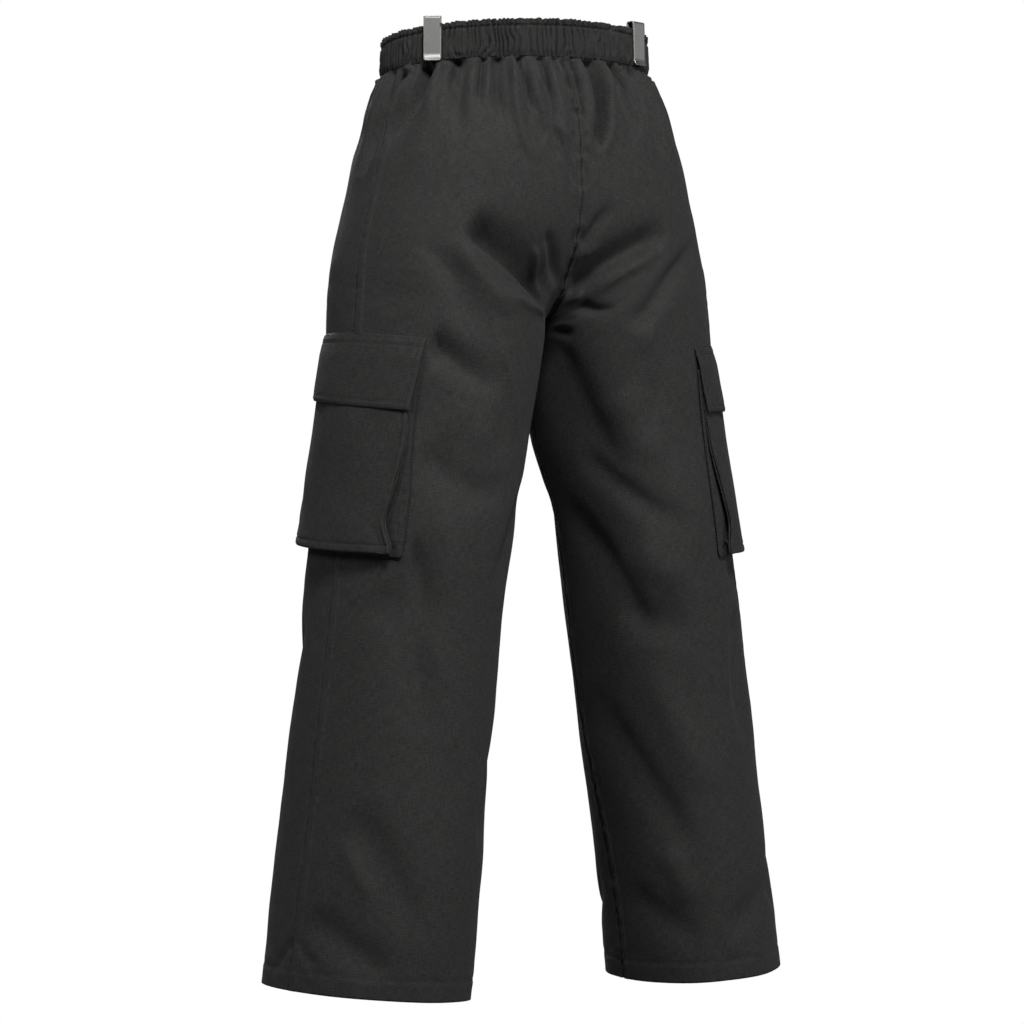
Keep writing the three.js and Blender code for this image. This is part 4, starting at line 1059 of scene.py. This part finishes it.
for side, side_name in SIDE_NAMES.items():
    flap = woven_sheet(
        f"pocket_flap_cloth_{side_name}",
        stations(0, 1, 64, 0.05, 8),
        np.concatenate([np.linspace(0, 0.2, 16), np.linspace(0.23, 0.85, 16), np.linspace(0.865, 1, 9)]),
        lambda across, part: flap_point(across, part, side),
        lambda across, part: (across * FLAP_WIDTH, part * FLAP_DEPTH),
        FLAP_WALL,
        pocket_cloth,
        mirrored=side == RIGHT,
    )
    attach(flap, "root")
    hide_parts(f"pocket_flap_{side_name}")

    rows = []

    def flap_row(points):
        points = np.array(points, float)
        across = np.concatenate([np.linspace(a[0], b[0], 90) for a, b in zip(points[:-1], points[1:])])
        part = np.concatenate([np.linspace(a[1], b[1], 90) for a, b in zip(points[:-1], points[1:])])
        normals = outward(mix(POCKET_BACK, POCKET_FRONT, across), np.full_like(across, 380.0), side)
        return flap_point(across, part, side, 0.15), normals

    edge_across, edge_part = FLAP_STITCH_IN / FLAP_WIDTH, FLAP_STITCH_IN / FLAP_DEPTH
    rows.append(flap_row([(0.01, 1.8 / FLAP_DEPTH), (0.99, 1.8 / FLAP_DEPTH)]))
    rows.append(flap_row([(0.01, 8 / FLAP_DEPTH), (0.99, 8 / FLAP_DEPTH)]))
    lower = 1 - edge_part
    corners = [(edge_across, 0.02), (edge_across, lower), (1 - edge_across, lower), (1 - edge_across, 0.02)]
    rows.append(flap_row(corners))
    for off in (1.5, 7.5):
        aside = (off - 5) / THIGH_GIRTH
        for edge, way, tilt in ((POCKET_BACK, -1, POCKET_TILT_BACK), (POCKET_FRONT, 1, POCKET_TILT_FRONT)):
            around = edge + way * aside
            rows.append(line_on_leg(side, [(around, 372), (around, STITCHED_BOTTOM + tilt)]))
    stitch_rows(f"pocket_stitching_{side_name}", rows)


# Clips: two strips of sheet steel 1.6 mm thick, bent over the top of the waistband and brushed along
# their length. The outer leg ends in a small lip turned outwards with a rounded edge.
CLIPS = [("clip_left", LEFT, 0.405, 18), ("clip_right", RIGHT, 0.305, -16)]
CLIP_WIDTH = 18
CLIP_THICKNESS = 1.6
CLIP_OUT = 3.9
CLIP_IN = -2.3
CLIP_RISE = 6.8
CLIP_INNER_LEG = 14
CLIP_OUTER_LEG = 33
CLIP_LIP = 5
CLIP_FLARE = 2.6
CLIP_BEND = 2.6


def brushed_steel():
    """Sheet steel brushed along its length: grey, with soft streaked highlights and brighter edges."""
    material, tree = empty_material("brushed_sheet_steel")
    along = add_node(tree, "ShaderNodeUVMap", {"uv_map": "thread"}).outputs["UV"]
    streaked = add_node(tree, "ShaderNodeMapping", {"Scale": (5200, 90, 1)}, {"Vector": along})
    grit = add_node(tree, "ShaderNodeTexNoise", {"Scale": 1, "Detail": 3}, {"Vector": streaked.outputs[0]})
    colours = add_node(tree, "ShaderNodeValToRGB", None, {"Fac": grit.outputs["Fac"]})
    colours.color_ramp.elements[0].color = linear("777776")
    colours.color_ramp.elements[1].color = linear("8c8c8a")
    polish = add_node(
        tree,
        "ShaderNodeMapRange",
        {"To Min": 0.42, "To Max": 0.58},
        {"Value": grit.outputs["Fac"]},
    )
    relief = {"Strength": 0.15, "Distance": 0.0001}
    bump = add_node(tree, "ShaderNodeBump", relief, {"Height": grit.outputs["Fac"]})
    links = {
        "Base Color": colours.outputs["Color"],
        "Roughness": polish.outputs["Result"],
        "Normal": bump.outputs["Normal"],
    }
    shader = add_node(tree, "ShaderNodeBsdfPrincipled", {"Metallic": 1, "Anisotropic": 0.4}, links)
    add_node(tree, "ShaderNodeOutputMaterial", None, {"Surface": shader.outputs["BSDF"]})
    return material


def bent_line(points, radius, step):
    """Points along straight runs joined by round bends of the given radius."""
    line = [np.array(points[0], float)]
    for i in range(1, len(points) - 1):
        before, at, after = (np.array(points[k], float) for k in (i - 1, i, i + 1))
        back, ahead = before - at, after - at
        cut = min(radius, np.linalg.norm(back) / 2, np.linalg.norm(ahead) / 2)
        start, end = at + back / np.linalg.norm(back) * cut, at + ahead / np.linalg.norm(ahead) * cut
        for t in np.linspace(0, 1, 7):
            line.append((1 - t) ** 2 * start + 2 * t * (1 - t) * at + t * t * end)
    line.append(np.array(points[-1], float))
    line = np.array(line)
    run = np.concatenate([[0], np.cumsum(np.linalg.norm(np.diff(line, axis=0), axis=1))])
    at = np.linspace(0, run[-1], int(run[-1] / step) + 1)
    return np.stack([np.interp(at, run, line[:, k]) for k in range(2)], -1), at


steel = brushed_steel()
clip_outer = CLIP_OUT + CLIP_THICKNESS
clip_top = CLIP_RISE + CLIP_THICKNESS
clip_profile, clip_run = bent_line(
    [
        (CLIP_IN - CLIP_THICKNESS, -CLIP_INNER_LEG),
        (CLIP_IN - CLIP_THICKNESS, clip_top),
        (clip_outer, clip_top),
        (clip_outer, -CLIP_OUTER_LEG),
        (clip_outer + CLIP_FLARE, -CLIP_OUTER_LEG - CLIP_LIP),
    ],
    CLIP_BEND,
    0.7,
)
for name, side, around, turned in CLIPS:
    foot = Vector(cloth(around, -BAND_HEIGHT, side))
    out = Vector(outward(around, -BAND_HEIGHT / 2, side))
    out.rotate(Matrix.Rotation(math.radians(turned), 3, "Z"))
    across = out.cross(Vector((0, 0, 1))).normalized()
    up = across.cross(out)

    def clip_point(wide, at):
        offset = np.stack([np.interp(at, clip_run, clip_profile[:, k]) for k in range(2)], -1)
        to_end = np.minimum(at, clip_run[-1] - at)
        corner = 3.0
        rounding = np.sqrt(np.maximum(corner**2 - (corner - to_end) ** 2, 0))
        taken = np.where(to_end < corner, corner - rounding, 0)
        wide = wide * (CLIP_WIDTH / 2 - taken)
        return (
            np.array(foot)
            + offset[:, :1] * np.array(out)
            + offset[:, 1:] * np.array(up)
            + wide[:, None] * np.array(across)
        )

    clip = woven_sheet(
        f"{name}_strip",
        np.linspace(-1, 1, 13),
        clip_run,
        clip_point,
        lambda wide, at: (wide * CLIP_WIDTH / 2, at),
        CLIP_THICKNESS,
        steel,
    )
    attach(clip, "root")
    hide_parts(name)


# Studio: a plain pale floor just under the hems, a white surround and four square soft lights: a key
# high behind the garment, on the camera's side, one to its left, one low on its right, one in front.
FLOOR_GAP = 0.02
FLOOR_SIZE = 30


def plain_floor():
    """A matt floor with the faintest unevenness, which the camera sees as plain white."""
    material, tree = empty_material("matt_white_floor")
    spot = add_node(tree, "ShaderNodeTexCoord").outputs["Object"]
    mottle = add_node(tree, "ShaderNodeTexNoise", {"Scale": 3, "Detail": 2}, {"Vector": spot})
    colours = add_node(tree, "ShaderNodeValToRGB", None, {"Fac": mottle.outputs["Fac"]})
    colours.color_ramp.elements[0].color = linear("6a6a6a")
    colours.color_ramp.elements[1].color = linear("707070")
    links = {"Base Color": colours.outputs["Color"]}
    paint = add_node(tree, "ShaderNodeBsdfPrincipled", {"Roughness": 0.9}, links)
    lit = add_node(tree, "ShaderNodeEmission", {"Color": linear("ffffff"), "Strength": 1})
    seen = add_node(tree, "ShaderNodeLightPath").outputs["Is Camera Ray"]
    links = {0: seen, 1: paint.outputs["BSDF"], 2: lit.outputs["Emission"]}
    shader = add_node(tree, "ShaderNodeMixShader", None, links)
    add_node(tree, "ShaderNodeOutputMaterial", None, {"Surface": shader.outputs["Shader"]})
    return material


made = bmesh.new()
bmesh.ops.create_grid(made, x_segments=1, y_segments=1, size=FLOOR_SIZE / 2)
bmesh.ops.translate(made, verts=made.verts, vec=(0, 0, cad_low.z - FLOOR_GAP))
floor_mesh = bpy.data.meshes.new("floor")
made.to_mesh(floor_mesh)
made.free()
floor_mesh.materials.append(plain_floor())
floor = bpy.data.objects.new("floor", floor_mesh)
bpy.context.scene.collection.objects.link(floor)

SOFT_LIGHTS = [
    ("key_softbox", (0.6, 1.75, 1.6), 0.7, 72),
    ("left_softbox", (2.5, 0.3, 1.1), 1.0, 29),
    ("right_softbox", (-1.7, 2.5, 0.1), 1.0, 36),
    ("front_softbox", (-0.6, -2.4, 1.5), 1.0, 90),
]
LIGHT_TARGET = Vector((0, 0, -0.45))
for name, spot, size, power in SOFT_LIGHTS:
    light_data = bpy.data.lights.new(name, "AREA")
    light_data.shape = "SQUARE"
    light_data.size = size
    light_data.energy = power
    light = bpy.data.objects.new(name, light_data)
    bpy.context.scene.collection.objects.link(light)
    light.location = spot
    light.rotation_euler = (LIGHT_TARGET - Vector(spot)).to_track_quat("-Z", "Y").to_euler()

world = bpy.data.worlds.new("white_surround")
world.use_nodes = True
world.node_tree.nodes.clear()
seen = add_node(world.node_tree, "ShaderNodeLightPath").outputs["Is Camera Ray"]
strength = add_node(world.node_tree, "ShaderNodeMapRange", {"To Min": 0.015, "To Max": 1.0}, {"Value": seen})
surround = add_node(
    world.node_tree,
    "ShaderNodeBackground",
    {"Color": linear("ffffff")},
    {"Strength": strength.outputs["Result"]},
)
add_node(world.node_tree, "ShaderNodeOutputWorld", None, {"Surface": surround.outputs["Background"]})
bpy.context.scene.world = world
bpy.context.scene.view_settings.view_transform = "Standard"
bpy.context.scene.view_settings.look = "None"
